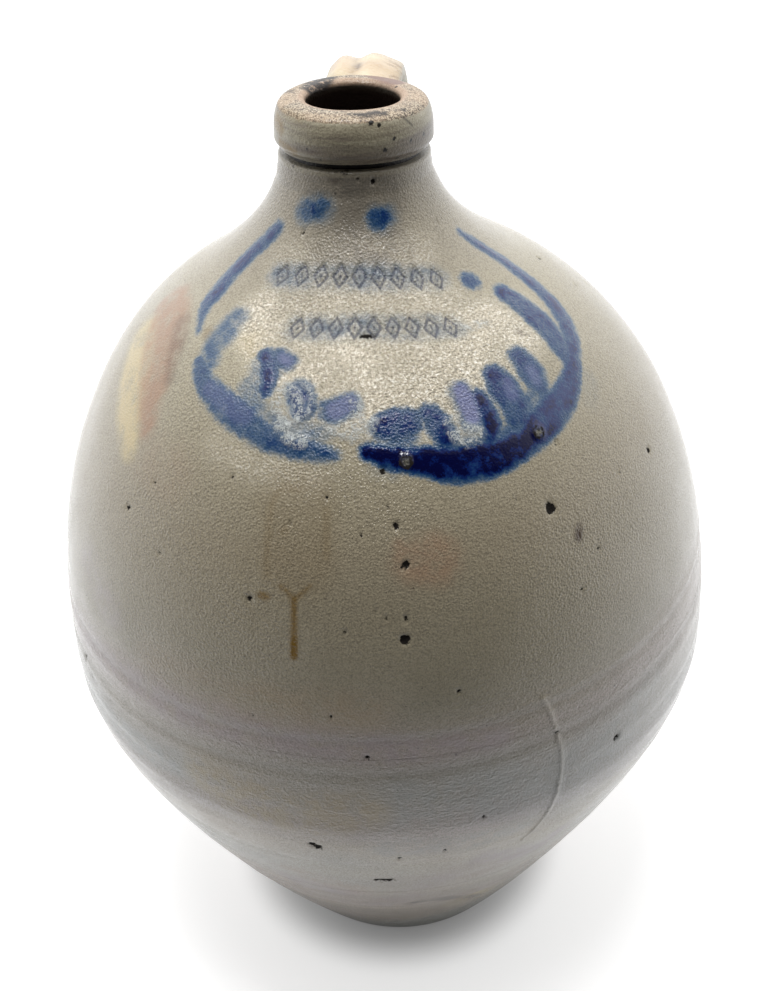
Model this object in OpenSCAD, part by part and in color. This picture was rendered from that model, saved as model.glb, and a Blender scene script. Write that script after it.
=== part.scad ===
// Ovoid stoneware jug with a collared mouth and a ribbed strap handle.
// The axis is Z, the table is z = 0, the front faces -Y and the handle stands at +Y.
// The body's line is three Bezier curves between the foot, the widest place, the
// steepest place of the shoulder and the top of the neck, as a potter's rib draws it.

/* [Body] */
// Radius of the flat foot
foot_r = 53; // [46:1:60]
// Rounding of the foot's lower edge
foot_round = 2; // [1:0.5:4]
// Angle at which the wall leaves the foot, above the table
foot_angle = 58; // [50:1:66]
// Radius of the belly at its widest
belly_r = 121; // [112:0.5:130]
// Height of the widest place above the table
belly_h = 147; // [134:1:160]
// Radius where the shoulder is steepest
shoulder_r = 58; // [52:0.5:64]
// Rise from the widest place to the steepest place of the shoulder
shoulder_rise = 138; // [124:1:152]
// Angle of the shoulder at its steepest place, above the table
shoulder_angle = 30.5; // [25:0.5:36]
// Rise from the steepest place of the shoulder to the top of the neck
neck_rise = 41; // [36:1:46]
// Radius of the neck's top
neck_r = 24; // [23:0.2:25.4]
// Thickness of the thrown wall
wall_t = 7; // [5.5:0.5:9]
// Thickness of the floor
floor_t = 10; // [7:0.5:13]
// Height of the cove between the floor and the wall
cove_h = 9; // [5:0.5:14]

/* [Seam and rings] */
// Rise of the joint between the two thrown sections above the widest place
seam_rise = 30; // [18:1:44]
// How far the joint's bevel climbs through the wall
seam_bevel = 5; // [2:0.5:8]
// Distance of the two tooled rings from the joint
ring_gap = 6.4; // [4:0.2:9]
// Height of the lowest tooled ring
low_ring_h = 122; // [95:1:126]
// Width of a tooled ring
ring_w = 4; // [2:0.2:6]
// Depth of a tooled ring
ring_d = 0.5; // [0.2:0.1:1]

/* [Lip] */
// Radius of the mouth's throat
throat_r = 14.5; // [13.5:0.1:15.5]
// Height of the lip collar, from its seat on the neck to the rim
lip_h = 16; // [14:0.5:19]
// Radius of the lip at its fullest
lip_r = 24.8; // [24.4:0.1:26.5]
// Radius of the lip's lower edge
lip_low_r = 23.6; // [23:0.1:24.2]
// Radius of the rim's outer edge
rim_r = 22.8; // [21.8:0.1:23.8]
// How far the rim falls from its inner to its outer edge
rim_fall = 1.2; // [0.6:0.1:2]
// Depth of the groove under the lip
groove_d = 2.6; // [1.6:0.1:3.2]
// Height of the groove under the lip
groove_h = 1.8; // [1:0.1:3]
// Rounding of the rim's inner edge
mouth_round = 2; // [1:0.1:3]
// Rounding of the lip's lower edge and of the ledge under the groove
edge_round = 0.9; // [0.5:0.1:1.2]

/* [Handle] */
// Width of the strap where it leaves the lip
strap_w = 25; // [22:0.5:28]
// Width of the strap at its narrowest, above the shoulder
strap_low_w = 22; // [19:0.5:25]
// Thickness of the strap where it leaves the lip
strap_t = 11; // [9:0.5:12]
// Thickness of the strap at its narrowest
strap_low_t = 9.5; // [8:0.5:11]
// Number of ribs along the strap
rib_count = 2; // [1:1:3]
// Depth of the groove between two ribs
rib_d = 1.6; // [0.5:0.1:2.4]
// How far the strap's middle bows out from the jug's axis
strap_reach = 75; // [69:0.5:81]
// Height of the strap's crest above the rim
strap_crest = 0.2; // [-1:0.1:3]
// Slope of the strap where it leaves the lip
root_angle = 14; // [6:1:24]
// Radius at which the strap's middle lands on the shoulder
land_r = 80; // [74:0.5:86]
// Length of the pressed tail down the shoulder
tail_l = 22; // [16:0.5:28]
// Width of the pressed tail
tail_w = 27; // [24:0.5:30]
// Thickness of the pressed tail
tail_t = 6.5; // [5:0.5:8]
// Depth to which the tail's end dives into the shoulder
tail_dive = 3; // [2:0.2:5]
// Radius of the wad that lutes the strap to the shoulder
wad_r = 22; // [19:0.5:25]
// Height of that wad above the shoulder
wad_h = 3; // [2:0.2:4]

/* [Slip] */
// Thickness of the brown slip inside
slip_t = 0.7; // [0.4:0.1:1.2]

/* [Hidden] */
$fn = 180;

// How hard each end of a curve pulls, as a share of the height that the curve climbs
foot_pull_share = 0.313;
belly_low_share = 0.182;
belly_high_share = 0.306;
shoulder_low_share = 0.428;
shoulder_high_share = 0.428;
neck_pull_share = 0.451;
// The pull that makes a Bezier curve nearly a quarter circle
quarter_share = 0.5523;
// Where the lip is fullest and the strap is at its crest and at its bow
lip_full_share = 0.42;
lip_low_pull_share = 0.6;
lip_high_pull_share = 0.55;
crest_share = 0.3;
bow_share = 0.5;
crest_pull_share = 0.5;
bow_pull_share = 0.6;
land_pull_share = 0.55;
// How much of the pressed tail it takes to spread to its full width, and how far it closes
spread_share = 0.7;
tail_shut_share = 0.97;
// How far the wad's cap runs past its edge, down into the shoulder
wad_reach_share = 1.3;
// Exponent of the strap's rounded section: 1 is an ellipse and 0 a rectangle
strap_square_share = 0.8;
// Points on each curve of the body, on a small curve and round a small edge
body_steps = 16;
lip_steps = 8;
edge_steps = 4;
// Rings along each stretch of the strap, and points round it
strap_steps = 10;
strap_sides = 26;

slope = [-cos(shoulder_angle), sin(shoulder_angle)];
up = [0, 1];
out = [1, 0];
foot_p = [foot_r, 0];
belly_p = [belly_r, belly_h];
shoulder_p = [shoulder_r, belly_h + shoulder_rise];
neck_h = belly_h + shoulder_rise + neck_rise;
neck_p = [neck_r, neck_h];
rim_h = neck_h + lip_h;
seam_h = belly_h + seam_rise;
neck_wall_t = neck_r - throat_r - slip_t;
groove_r = neck_r - groove_d;

// The three curves of the outline, and the wall's thickness at both ends of each
foot_curve = [
    foot_p,
    foot_p + foot_pull_share * belly_h * [cos(foot_angle), sin(foot_angle)],
    belly_p - belly_low_share * belly_h * up,
    belly_p
];
shoulder_curve = [
    belly_p,
    belly_p + belly_high_share * shoulder_rise * up,
    shoulder_p - shoulder_low_share * shoulder_rise * slope,
    shoulder_p
];
neck_curve = [
    shoulder_p,
    shoulder_p + shoulder_high_share * neck_rise * slope,
    neck_p - neck_pull_share * neck_rise * up,
    neck_p
];
foot_walls = [wall_t, wall_t];
shoulder_walls = [wall_t, wall_t];
neck_walls = [wall_t, neck_wall_t];

// A cubic Bezier curve's point, its direction, and the side to the right of a direction
function bez(p, t) =
    pow(1 - t, 3) * p[0] + 3 * pow(1 - t, 2) * t * p[1]
    + 3 * (1 - t) * t * t * p[2] + pow(t, 3) * p[3];
function unit(v) = v / norm(v);
function bez_dir(p, t) =
    unit(pow(1 - t, 2) * (p[1] - p[0]) + 2 * (1 - t) * t * (p[2] - p[1]) + t * t * (p[3] - p[2]));
function right_of(d) = [d[1], -d[0]];

// A point inside the wall: t along the curve, and depth beyond the wall's inner face
function inner(p, walls, t, depth) =
    bez(p, t) - (walls[0] + (walls[1] - walls[0]) * t + depth) * right_of(bez_dir(p, t));

// Where a rising curve passes a height, and where the shoulder's curve passes a radius
function t_at_h(p, h, low = 0, high = 1, left = 30) =
    let (mid = (low + high) / 2)
    left == 0 ? mid
    : bez(p, mid)[1] < h ? t_at_h(p, h, mid, high, left - 1)
    : t_at_h(p, h, low, mid, left - 1);
function t_at_r(p, r, low = 0, high = 1, left = 30) =
    let (mid = (low + high) / 2)
    left == 0 ? mid
    : bez(p, mid)[0] > r ? t_at_r(p, r, mid, high, left - 1)
    : t_at_r(p, r, low, mid, left - 1);
function t_inner_at_h(p, walls, h, depth, low = 0, high = 1, left = 30) =
    let (mid = (low + high) / 2)
    left == 0 ? mid
    : inner(p, walls, mid, depth)[1] < h ? t_inner_at_h(p, walls, h, depth, mid, high, left - 1)
    : t_inner_at_h(p, walls, h, depth, low, mid, left - 1);

// Evenly spaced points from one place to another on a curve
function run(p, t0, t1, steps) = [for (i = [0:steps]) bez(p, t0 + (t1 - t0) * i / steps)];
function inner_run(p, walls, t0, t1, steps, depth) =
    [for (i = [0:steps]) inner(p, walls, t0 + (t1 - t0) * i / steps, depth)];
function rest_of(points) = [for (i = [1:len(points) - 1]) points[i]];
function corner(from, at, to, steps) =
    run([from, from + quarter_share * (at - from), to + quarter_share * (at - to), to], 0, 1, steps);

seam_t = t_at_h(shoulder_curve, seam_h);
seam_in_t = t_at_h(shoulder_curve, seam_h + seam_bevel);
land_t = t_at_r(shoulder_curve, land_r);

// The inner face from the middle of the floor to the joint, and from the joint to the neck
function floor_line(depth) =
    let (
        floor_h = floor_t + depth,
        t0 = t_inner_at_h(foot_curve, foot_walls, floor_h + cove_h, depth),
        wall_p = inner(foot_curve, foot_walls, t0, depth),
        d = bez_dir(foot_curve, t0),
        meet = wall_p - d * (wall_p[1] - floor_h) / d[1],
        floor_p = meet - norm(wall_p - meet) * out
    )
    concat(
        [[0, floor_h]],
        corner(floor_p, meet, wall_p, lip_steps),
        rest_of(inner_run(foot_curve, foot_walls, t0, 1, body_steps, depth))
    );
function low_inner_line(depth) =
    concat(
        floor_line(depth),
        rest_of(inner_run(shoulder_curve, shoulder_walls, 0, seam_in_t, lip_steps, depth))
    );
function high_inner_line(depth) =
    concat(
        inner_run(shoulder_curve, shoulder_walls, seam_in_t, 1, body_steps, depth),
        rest_of(inner_run(neck_curve, neck_walls, 0, 1, body_steps, depth))
    );

// The outer face from the foot to the joint, and from the joint to the ledge of the neck
function low_outer_line() =
    let (t0 = t_at_h(foot_curve, foot_round))
    concat(
        corner([foot_r - foot_round, 0], foot_p, bez(foot_curve, t0), edge_steps),
        rest_of(run(foot_curve, t0, 1, body_steps)),
        rest_of(run(shoulder_curve, 0, seam_t, lip_steps))
    );
function high_outer_line() =
    let (t1 = t_at_h(neck_curve, neck_h - edge_round))
    concat(
        run(shoulder_curve, seam_t, 1, body_steps),
        rest_of(run(neck_curve, 0, t1, body_steps)),
        rest_of(corner(bez(neck_curve, t1), neck_p, neck_p - edge_round * out, edge_steps))
    );
function reversed(points) = [for (i = [len(points) - 1:-1:0]) points[i]];

// A shallow ring pressed into the clay: a round tool held against the turning wall
module ring_groove(p, h) {
    tool_r = (ring_w * ring_w / 4 + ring_d * ring_d) / (2 * ring_d);
    t = t_at_h(p, h);
    centre = bez(p, t) + (tool_r - ring_d) * right_of(bez_dir(p, t));
    rotate_extrude()
        translate(centre)
            circle(tool_r);
}

// Thrown lower section: foot, floor and belly, up to the bevel of the joint
module lower_body() {
    color("#8c857b")
        difference() {
            rotate_extrude()
                polygon(concat([[0, 0]], low_outer_line(), reversed(low_inner_line(0))));
            ring_groove(foot_curve, low_ring_h);
            ring_groove(shoulder_curve, seam_h - ring_gap);
        }
}

// Thrown upper section: shoulder and neck, which closes over the lower one
module upper_body() {
    color("#a39c90")
        difference() {
            rotate_extrude()
                polygon(concat(high_outer_line(), reversed(high_inner_line(0))));
            ring_groove(shoulder_curve, seam_h + ring_gap);
        }
}

// Outer line of the lip, from the bottom of the groove to the rim's crest
lip_full_h = neck_h + lip_full_share * lip_h;
lip_low_p = [lip_low_r, neck_h + groove_h + edge_round];
lip_full_p = [lip_r, lip_full_h];
rim_edge_p = [rim_r, rim_h - rim_fall];
rim_crest_p = [throat_r + mouth_round, rim_h];
lip_line = concat(
    [[groove_r, neck_h], [groove_r, neck_h + groove_h]],
    corner(
        [lip_low_r - edge_round, neck_h + groove_h],
        [lip_low_r, neck_h + groove_h],
        lip_low_p,
        edge_steps
    ),
    rest_of(run([
        lip_low_p,
        lip_low_p + lip_low_pull_share * (lip_full_h - lip_low_p[1]) * unit(up + out),
        lip_full_p - lip_low_pull_share * (lip_full_h - lip_low_p[1]) * up,
        lip_full_p
    ], 0, 1, lip_steps)),
    rest_of(run([
        lip_full_p,
        lip_full_p + lip_high_pull_share * (rim_edge_p[1] - lip_full_h) * up,
        rim_edge_p + rim_fall * unit(out - up),
        rim_edge_p
    ], 0, 1, lip_steps)),
    rest_of(run([
        rim_edge_p,
        rim_edge_p - rim_fall * unit(out - up),
        rim_crest_p + quarter_share * (rim_r - rim_crest_p[0]) * out,
        rim_crest_p
    ], 0, 1, lip_steps))
);

// Tooled ring of clay round the mouth, seated on the neck's flat top, with a straight throat
module lip_collar() {
    color("#a89a85")
        rotate_extrude()
            polygon(concat(
                lip_line,
                rest_of(corner(
                    rim_crest_p,
                    [throat_r, rim_h],
                    [throat_r, rim_h - mouth_round],
                    edge_steps
                )),
                [[throat_r, neck_h]]
            ));
}

// The whole outer form with no hollow, which trims what is luted on to the jug
module clay_core() {
    rotate_extrude()
        polygon(concat(
            [[0, belly_h]],
            run(shoulder_curve, 0, seam_t, lip_steps),
            rest_of(high_outer_line()),
            lip_line,
            [[0, rim_h]]
        ));
}

// The strap's middle line in the plane of the handle, as [distance from the axis, height]
root_p = [groove_r, rim_h - rim_fall - strap_t / 2];
crest_p = [
    root_p[0] + crest_share * (strap_reach - root_p[0]),
    rim_h + strap_crest - strap_t / 2
];
land_dir = -bez_dir(shoulder_curve, land_t);
land_normal = right_of(-land_dir);
land_base_p = bez(shoulder_curve, land_t);
land_p = land_base_p + wad_h * land_normal;
bow_p = [strap_reach, land_p[1] + bow_share * (crest_p[1] - land_p[1])];
root_dir = [cos(root_angle), sin(root_angle)];
root_curve = [
    root_p,
    root_p + crest_pull_share * (crest_p[0] - root_p[0]) * root_dir,
    crest_p - crest_pull_share * (crest_p[0] - root_p[0]) * out,
    crest_p
];
bow_curve = [
    crest_p,
    crest_p + bow_pull_share * (bow_p[0] - crest_p[0]) * out,
    bow_p + bow_pull_share * (crest_p[1] - bow_p[1]) * up,
    bow_p
];
land_curve = [
    bow_p,
    bow_p - land_pull_share * (bow_p[1] - land_p[1]) * up,
    land_p - land_pull_share * (bow_p[1] - land_p[1]) / 2 * land_dir,
    land_p
];
tail_end_p = land_base_p + tail_l * land_dir - tail_dive * land_normal;
tail_curve = [
    land_p,
    land_p + tail_l / 2 * land_dir,
    tail_end_p - tail_l / 4 * land_dir,
    tail_end_p
];

// Stations of the sweep: place, direction, width, thickness and depth of the ribs
function mix(a, b, t) = a + (b - a) * t;
function soft(t) = t * t * (3 - 2 * t);
function stations(p, w, th, rib, first) =
    [for (i = [first:strap_steps])
        let (t = i / strap_steps)
        [bez(p, t), bez_dir(p, t), mix(w[0], w[1], soft(t)), mix(th[0], th[1], soft(t)),
            mix(rib[0], rib[1], soft(t))]];
function round_end(t) = sqrt(max(1 - t * t, 0));
strap_mid_w = (strap_w + strap_low_w) / 2;
strap_mid_t = (strap_t + strap_low_t) / 2;
tail_stations = [for (i = [1:strap_steps])
    let (
        t = i / strap_steps,
        spread = soft(min(t / spread_share, 1)),
        shut = round_end(tail_shut_share * t * t)
    )
    [bez(tail_curve, t), bez_dir(tail_curve, t), mix(strap_low_w, tail_w, spread) * shut,
        mix(strap_low_t, tail_t, spread) * shut, rib_d * (1 - spread)]];
strap_stations = concat(
    stations(root_curve, [strap_w, strap_w], [strap_t, strap_t], [rib_d, rib_d], 0),
    stations(bow_curve, [strap_w, strap_mid_w], [strap_t, strap_mid_t], [rib_d, rib_d], 1),
    stations(land_curve, [strap_mid_w, strap_low_w], [strap_mid_t, strap_low_t], [rib_d, rib_d], 1),
    tail_stations
);

// One ring of points round the strap, and the skin over all the rings
function rounded(c) = sign(c) * pow(abs(c), strap_square_share);
function rib_dip(s) = (1 + cos(180 * rib_count * (s + 1))) / 2;
function strap_ring(st) =
    [for (k = [0:strap_sides - 1])
        let (
            a = 360 * k / strap_sides,
            s = rounded(cos(a)),
            rise = rounded(sin(a)) * st[3] / 2 - (sin(a) > 0 ? st[4] * rib_dip(s) * sin(a) : 0),
            at = st[0] - rise * right_of(st[1])
        )
        [s * st[2] / 2, at[0], at[1]]];
strap_points = [for (st = strap_stations) each strap_ring(st)];
ring_count = len(strap_stations);
strap_faces = concat(
    [[for (k = [0:strap_sides - 1]) k]],
    [for (j = [0:ring_count - 2], k = [0:strap_sides - 1])
        let (
            a = j * strap_sides + k,
            b = j * strap_sides + (k + 1) % strap_sides
        )
        each [[a, a + strap_sides, b + strap_sides], [a, b + strap_sides, b]]],
    [[for (k = [strap_sides - 1:-1:0]) (ring_count - 1) * strap_sides + k]]
);

module strap_sweep() {
    polyhedron(points = strap_points, faces = strap_faces, convexity = 8);
}

// The wad's cap: part of a ball whose edge feathers out on the rounded shoulder
module wad_cap() {
    edge_drop = wad_h + wad_r * wad_r / (2 * land_r);
    ball_r = (wad_r * wad_r + edge_drop * edge_drop) / (2 * edge_drop);
    half_angle = asin(wad_reach_share * wad_r / ball_r);
    cap_line = [for (i = [0:lip_steps])
        let (a = half_angle * i / lip_steps)
        [ball_r * sin(a), ball_r * cos(a) - ball_r + wad_h]];
    translate([0, land_base_p[0], land_base_p[1]])
        rotate([-atan2(land_normal[0], land_normal[1]), 0, 0])
            rotate_extrude()
                polygon(concat(cap_line, [[0, cap_line[lip_steps][1]]]));
}

// Wad of soft clay on the shoulder, into which the strap's foot is pressed
module handle_wad() {
    color("#a08f78")
        difference() {
            wad_cap();
            clay_core();
        }
}

// Pulled strap, trimmed so that it sits face to face on the lip, the wad and the shoulder
module strap_handle() {
    color("#b3a384")
        difference() {
            strap_sweep();
            clay_core();
            wad_cap();
        }
}

// Brown slip that was poured in and out again, on the whole inner wall
module slip_lining() {
    color("#3a241a")
        rotate_extrude()
            polygon(concat(
                low_inner_line(0),
                rest_of(high_inner_line(0)),
                reversed(high_inner_line(slip_t)),
                rest_of(reversed(low_inner_line(slip_t)))
            ));
}

lower_body();
upper_body();
lip_collar();
strap_handle();
handle_wad();
slip_lining();
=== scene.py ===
# %% [markdown]
# # An ovoid stoneware jug
#
# A potter threw this jug in two sections, tooled a collar round its mouth, pulled a strap
# handle on to its back and painted a cobalt swag on its shoulder. Then salt was thrown into
# the kiln, and its vapour glazed the clay.
#
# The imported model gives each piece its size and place. This lesson makes the same pieces
# again with finer skins, because a salt glaze shows every finger mark, and it never moves
# anything away from where the frame has it.

# %% Load the frame
import math

import bpy
import numpy as np
from mathutils import Matrix, Vector
from mathutils.bvhtree import BVHTree


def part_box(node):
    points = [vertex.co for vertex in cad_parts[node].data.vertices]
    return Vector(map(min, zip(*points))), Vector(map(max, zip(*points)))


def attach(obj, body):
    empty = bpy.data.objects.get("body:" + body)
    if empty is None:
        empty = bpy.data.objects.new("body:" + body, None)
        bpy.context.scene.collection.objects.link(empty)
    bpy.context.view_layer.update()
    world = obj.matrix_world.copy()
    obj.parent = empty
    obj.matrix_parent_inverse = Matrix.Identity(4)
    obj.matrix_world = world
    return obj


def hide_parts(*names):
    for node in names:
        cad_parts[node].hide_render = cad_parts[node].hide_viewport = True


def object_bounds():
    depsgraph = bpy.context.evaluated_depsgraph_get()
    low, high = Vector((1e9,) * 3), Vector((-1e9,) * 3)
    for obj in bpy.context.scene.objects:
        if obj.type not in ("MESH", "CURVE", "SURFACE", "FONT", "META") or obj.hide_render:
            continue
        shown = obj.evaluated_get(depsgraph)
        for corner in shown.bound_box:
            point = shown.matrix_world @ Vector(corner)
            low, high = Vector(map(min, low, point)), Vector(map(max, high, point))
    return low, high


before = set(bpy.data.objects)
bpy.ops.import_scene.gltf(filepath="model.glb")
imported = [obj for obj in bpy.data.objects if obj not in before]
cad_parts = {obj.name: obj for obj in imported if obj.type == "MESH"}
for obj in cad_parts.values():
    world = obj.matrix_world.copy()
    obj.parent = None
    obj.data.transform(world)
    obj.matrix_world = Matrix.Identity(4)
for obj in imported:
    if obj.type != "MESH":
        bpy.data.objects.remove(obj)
cad_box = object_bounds()
print("nodes in the frame:", ", ".join(sorted(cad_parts)))

# %% [markdown]
# ## Sizes
#
# Heights that matter come from the frame itself: the joint between the two thrown sections,
# the top of the neck and the rim. The other sizes are the ones that the construction uses,
# in metres, and a millimetre is the unit in which a potter thinks of them.

# %% Name the sizes
MM = 0.001
seam_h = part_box("upper_body")[0].z
neck_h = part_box("lip_collar")[0].z
rim_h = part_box("lip_collar")[1].z
foot_r, foot_round, foot_angle = 53 * MM, 2 * MM, math.radians(58)
belly_r, belly_h = 121 * MM, 147 * MM
shoulder_r, shoulder_rise, shoulder_angle = 58 * MM, 138 * MM, math.radians(30.5)
neck_r, throat_r = 24 * MM, 14.5 * MM
wall_t, floor_t, cove_h, slip_t = 7 * MM, 10 * MM, 9 * MM, 0.7 * MM
seam_bevel = 5 * MM
shoulder_h = belly_h + shoulder_rise
neck_rise = neck_h - shoulder_h
print(f"joint at {seam_h / MM:.1f}, neck at {neck_h / MM:.1f}, rim at {rim_h / MM:.1f} mm")

# %% [markdown]
# ## The camera comes first
#
# The photograph looks down on the jug from close by, so its shoulder seems huge and its foot
# small. The camera is made before the jug, because the painting is placed by it: a ray
# through a pixel of the photograph shows where on the clay a brush stroke lies.

# %% Set up the camera
PHOTO_W, PHOTO_H = 768, 991
FOCAL_PX = 1203.4
SENSOR_MM = 36.0
camera_turn = math.radians(5)
camera_back, camera_height = 371.5 * MM, 452.6 * MM
camera_pitch, camera_yaw, camera_roll = math.radians(35.11), math.radians(0.13), math.radians(-2.94)


def new_object(name, data):
    """A new object of the scene, at the origin."""
    made = bpy.data.objects.new(name, data)
    bpy.context.scene.collection.objects.link(made)
    return made


def camera_axes():
    """The camera's right, up and forward directions, before it turns round the jug."""
    forward = Vector((
        math.sin(camera_yaw) * math.cos(camera_pitch),
        math.cos(camera_yaw) * math.cos(camera_pitch),
        -math.sin(camera_pitch),
    ))
    right = Vector((math.cos(camera_yaw), -math.sin(camera_yaw), 0))
    up = right.cross(forward)
    cos_r, sin_r = math.cos(camera_roll), math.sin(camera_roll)
    return cos_r * right + sin_r * up, cos_r * up - sin_r * right, forward


turn_round = Matrix.Rotation(camera_turn, 4, "Z")
right_axis, up_axis, forward_axis = (turn_round @ axis for axis in camera_axes())
camera_place = turn_round @ Vector((0, -camera_back, camera_height))
camera = new_object("camera", bpy.data.cameras.new("camera"))
camera.data.sensor_width = SENSOR_MM
camera.data.lens = FOCAL_PX * SENSOR_MM / PHOTO_H
camera.data.clip_start = 0.01
camera.matrix_world = Matrix((
    *[(r, u, -f, p) for r, u, f, p in zip(right_axis, up_axis, forward_axis, camera_place)],
    (0, 0, 0, 1),
))
bpy.context.scene.camera = camera
print(f"camera lens {camera.data.lens:.1f} mm, {camera_place.length:.3f} m from the foot")

# %% [markdown]
# ## The outline
#
# A potter judges a jug by its outline. Here it is three Bezier curves, from the foot to the
# widest place, from there to the steepest place of the shoulder, and on to the neck. The
# inner line runs a wall's thickness inside the outer one.

# %% Draw the outline
ROUND_PULL = 0.5523
FINE = 400
foot_pull, belly_low_pull, belly_high_pull = 0.313, 0.182, 0.306
slope_pull, neck_pull = 0.428, 0.451


def arc(start, leaving, arriving, end, steps=FINE):
    """A Bezier curve, as rows of radius and height, that leaves and arrives along two arrows."""
    t = np.linspace(0, 1, steps + 1)[:, None]
    shares = (1 - t) ** 3, 3 * (1 - t) ** 2 * t, 3 * (1 - t) * t * t, t**3
    return sum(share * point for share, point in zip(shares, (start, start + leaving, end - arriving, end)))


def corner(start, at, end, steps):
    """A nearly round corner between two points."""
    start, at, end = (np.array(p) for p in (start, at, end))
    return arc(start, ROUND_PULL * (at - start), ROUND_PULL * (end - at), end, steps)


def unit(angle):
    """An arrow of length 1 that rises at an angle."""
    return np.array((math.cos(angle), math.sin(angle)))


def inside(line, thickness):
    """The same line moved towards the axis by a thickness, which may change along it."""
    along = np.gradient(line, axis=0)
    along /= np.linalg.norm(along, axis=1)[:, None]
    return line - np.column_stack((along[:, 1], -along[:, 0])) * np.reshape(thickness, (-1, 1))


def lengths_along(line):
    """How far along the line each of its points lies."""
    return np.concatenate(([0], np.cumsum(np.linalg.norm(np.diff(line, axis=0), axis=1))))


def evenly(line, step):
    """The same line with points a step apart."""
    lengths = lengths_along(line)
    places = np.linspace(0, lengths[-1], max(2, int(round(lengths[-1] / step)) + 1))
    return np.column_stack([np.interp(places, lengths, line[:, k]) for k in (0, 1)])


def between(line, low, high):
    """The stretch of a rising line between two heights, with its ends exactly there."""
    rising = line[(line[:, 1] > low) & (line[:, 1] < high)]
    ends = [[np.interp(h, line[:, 1], line[:, 0]), h] for h in (low, high)]
    return np.concatenate(([ends[0]], rising, [ends[1]]))


rise, outward = np.array((0.0, 1.0)), np.array((1.0, 0.0))
slope = unit(math.pi - shoulder_angle)
foot_p, belly_p = np.array((foot_r, 0.0)), np.array((belly_r, belly_h))
shoulder_p, neck_p = np.array((shoulder_r, shoulder_h)), np.array((neck_r, neck_h))
outer_line = np.concatenate((
    arc(foot_p, foot_pull * belly_h * unit(foot_angle), belly_low_pull * belly_h * rise, belly_p),
    arc(belly_p, belly_high_pull * shoulder_rise * rise, slope_pull * shoulder_rise * slope, shoulder_p)[1:],
    arc(shoulder_p, slope_pull * neck_rise * slope, neck_pull * neck_rise * rise, neck_p)[1:],
))
walls = np.full(len(outer_line), wall_t)
walls[-FINE:] = np.linspace(wall_t, neck_r - throat_r - slip_t, FINE)
inner_line = inside(outer_line, walls)
slip_line = inside(outer_line, walls + slip_t)


def radius_at(height):
    """Radius of the outer outline at a height."""
    return np.interp(height, outer_line[:, 1], outer_line[:, 0])


print(f"outline: {len(outer_line)} points, widest {2 * outer_line[:, 0].max() / MM:.0f} mm across")

# %% [markdown]
# ## Turning a piece with Geometry Nodes
#
# Everything thrown on a wheel is one outline swept round a circle, so one small node tree
# turns the two sections, the collar, the slip and the wad. Curve to Mesh sweeps the outline,
# and the circle's points crowd together on the side that the painting is on. That puts the
# fine skin where it is looked at, and keeps each piece under 200,000 triangles.

# %% Build the turning tree


def new_tree(name, inputs):
    """An empty Geometry Nodes tree with named inputs."""
    tree = bpy.data.node_groups.new(name, "GeometryNodeTree")
    tree.interface.new_socket("Geometry", in_out="INPUT", socket_type="NodeSocketGeometry")
    tree.interface.new_socket("Geometry", in_out="OUTPUT", socket_type="NodeSocketGeometry")
    for label, kind, value in inputs:
        socket = tree.interface.new_socket(label, in_out="INPUT", socket_type="NodeSocket" + kind)
        if value is not None:
            socket.default_value = value
    return tree, tree.nodes.new("NodeGroupInput").outputs, tree.nodes.new("NodeGroupOutput").inputs


def wire(tree, kind, feeds=None, **settings):
    """Adds a node, sets it up and feeds its sockets with links or plain values."""
    node = tree.nodes.new(kind)
    for name, value in settings.items():
        setattr(node, name, value)
    for key, value in (feeds or {}).items():
        if isinstance(value, bpy.types.NodeSocket):
            tree.links.new(value, node.inputs[key])
        else:
            node.inputs[key].default_value = value
    return node


def reckon(tree, operation, a, b=0.0):
    """One sum of two numbers in a node tree."""
    return wire(tree, "ShaderNodeMath", {0: a, 1: b}, operation=operation).outputs[0]


def fitted(tree, value, low, high, to_low=0.0, to_high=1.0):
    """Maps a value's range on to another, softly at both ends."""
    feeds = {"Value": value, "From Min": low, "From Max": high, "To Min": to_low, "To Max": to_high}
    return wire(tree, "ShaderNodeMapRange", feeds, interpolation_type="SMOOTHSTEP").outputs["Result"]


def last_steps(tree, geometry, clay, end):
    """Every tree ends in the same way: real geometry, smooth, in its material."""
    real = wire(tree, "GeometryNodeRealizeInstances", {"Geometry": geometry})
    smooth = wire(tree, "GeometryNodeSetShadeSmooth", {"Geometry": real.outputs[0]})
    done = wire(tree, "GeometryNodeSetMaterial", {"Geometry": smooth.outputs[0], "Material": clay})
    tree.links.new(done.outputs[0], end)


COLUMNS, CROWDING, WELD = 480, 0.7, 0.002 * MM
turning, given, result = new_tree("turning", [
    ("Columns", "Int", COLUMNS), ("Crowding", "Float", CROWDING), ("Facing", "Float", 0.0),
    ("Clay", "Material", None),
])
wheel = wire(turning, "GeometryNodeCurvePrimitiveCircle", {"Resolution": given["Columns"], "Radius": 1.0})
place_share = reckon(turning, "DIVIDE", wire(turning, "GeometryNodeInputIndex").outputs[0], given["Columns"])
even_angle = reckon(turning, "MULTIPLY", place_share, 2 * math.pi)
crowd = reckon(turning, "MULTIPLY", reckon(turning, "SINE", even_angle), given["Crowding"])
back = reckon(turning, "ADD", given["Facing"], math.pi)
angle = reckon(turning, "ADD", back, reckon(turning, "ADD", even_angle, crowd))
rim_place = wire(turning, "ShaderNodeCombineXYZ", {
    "X": reckon(turning, "COSINE", angle),
    "Y": reckon(turning, "SINE", angle),
}).outputs[0]
crowded = wire(turning, "GeometryNodeSetPosition", {"Geometry": wheel.outputs[0], "Position": rim_place})
swept = wire(turning, "GeometryNodeCurveToMesh", {
    "Curve": crowded.outputs[0],
    "Profile Curve": given["Geometry"],
})
closed = wire(turning, "GeometryNodeMergeByDistance", {"Geometry": swept.outputs[0], "Distance": WELD})
last_steps(turning, closed.outputs[0], given["Clay"], result[0])
print(f"turning tree: {len(turning.nodes)} nodes")

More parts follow.
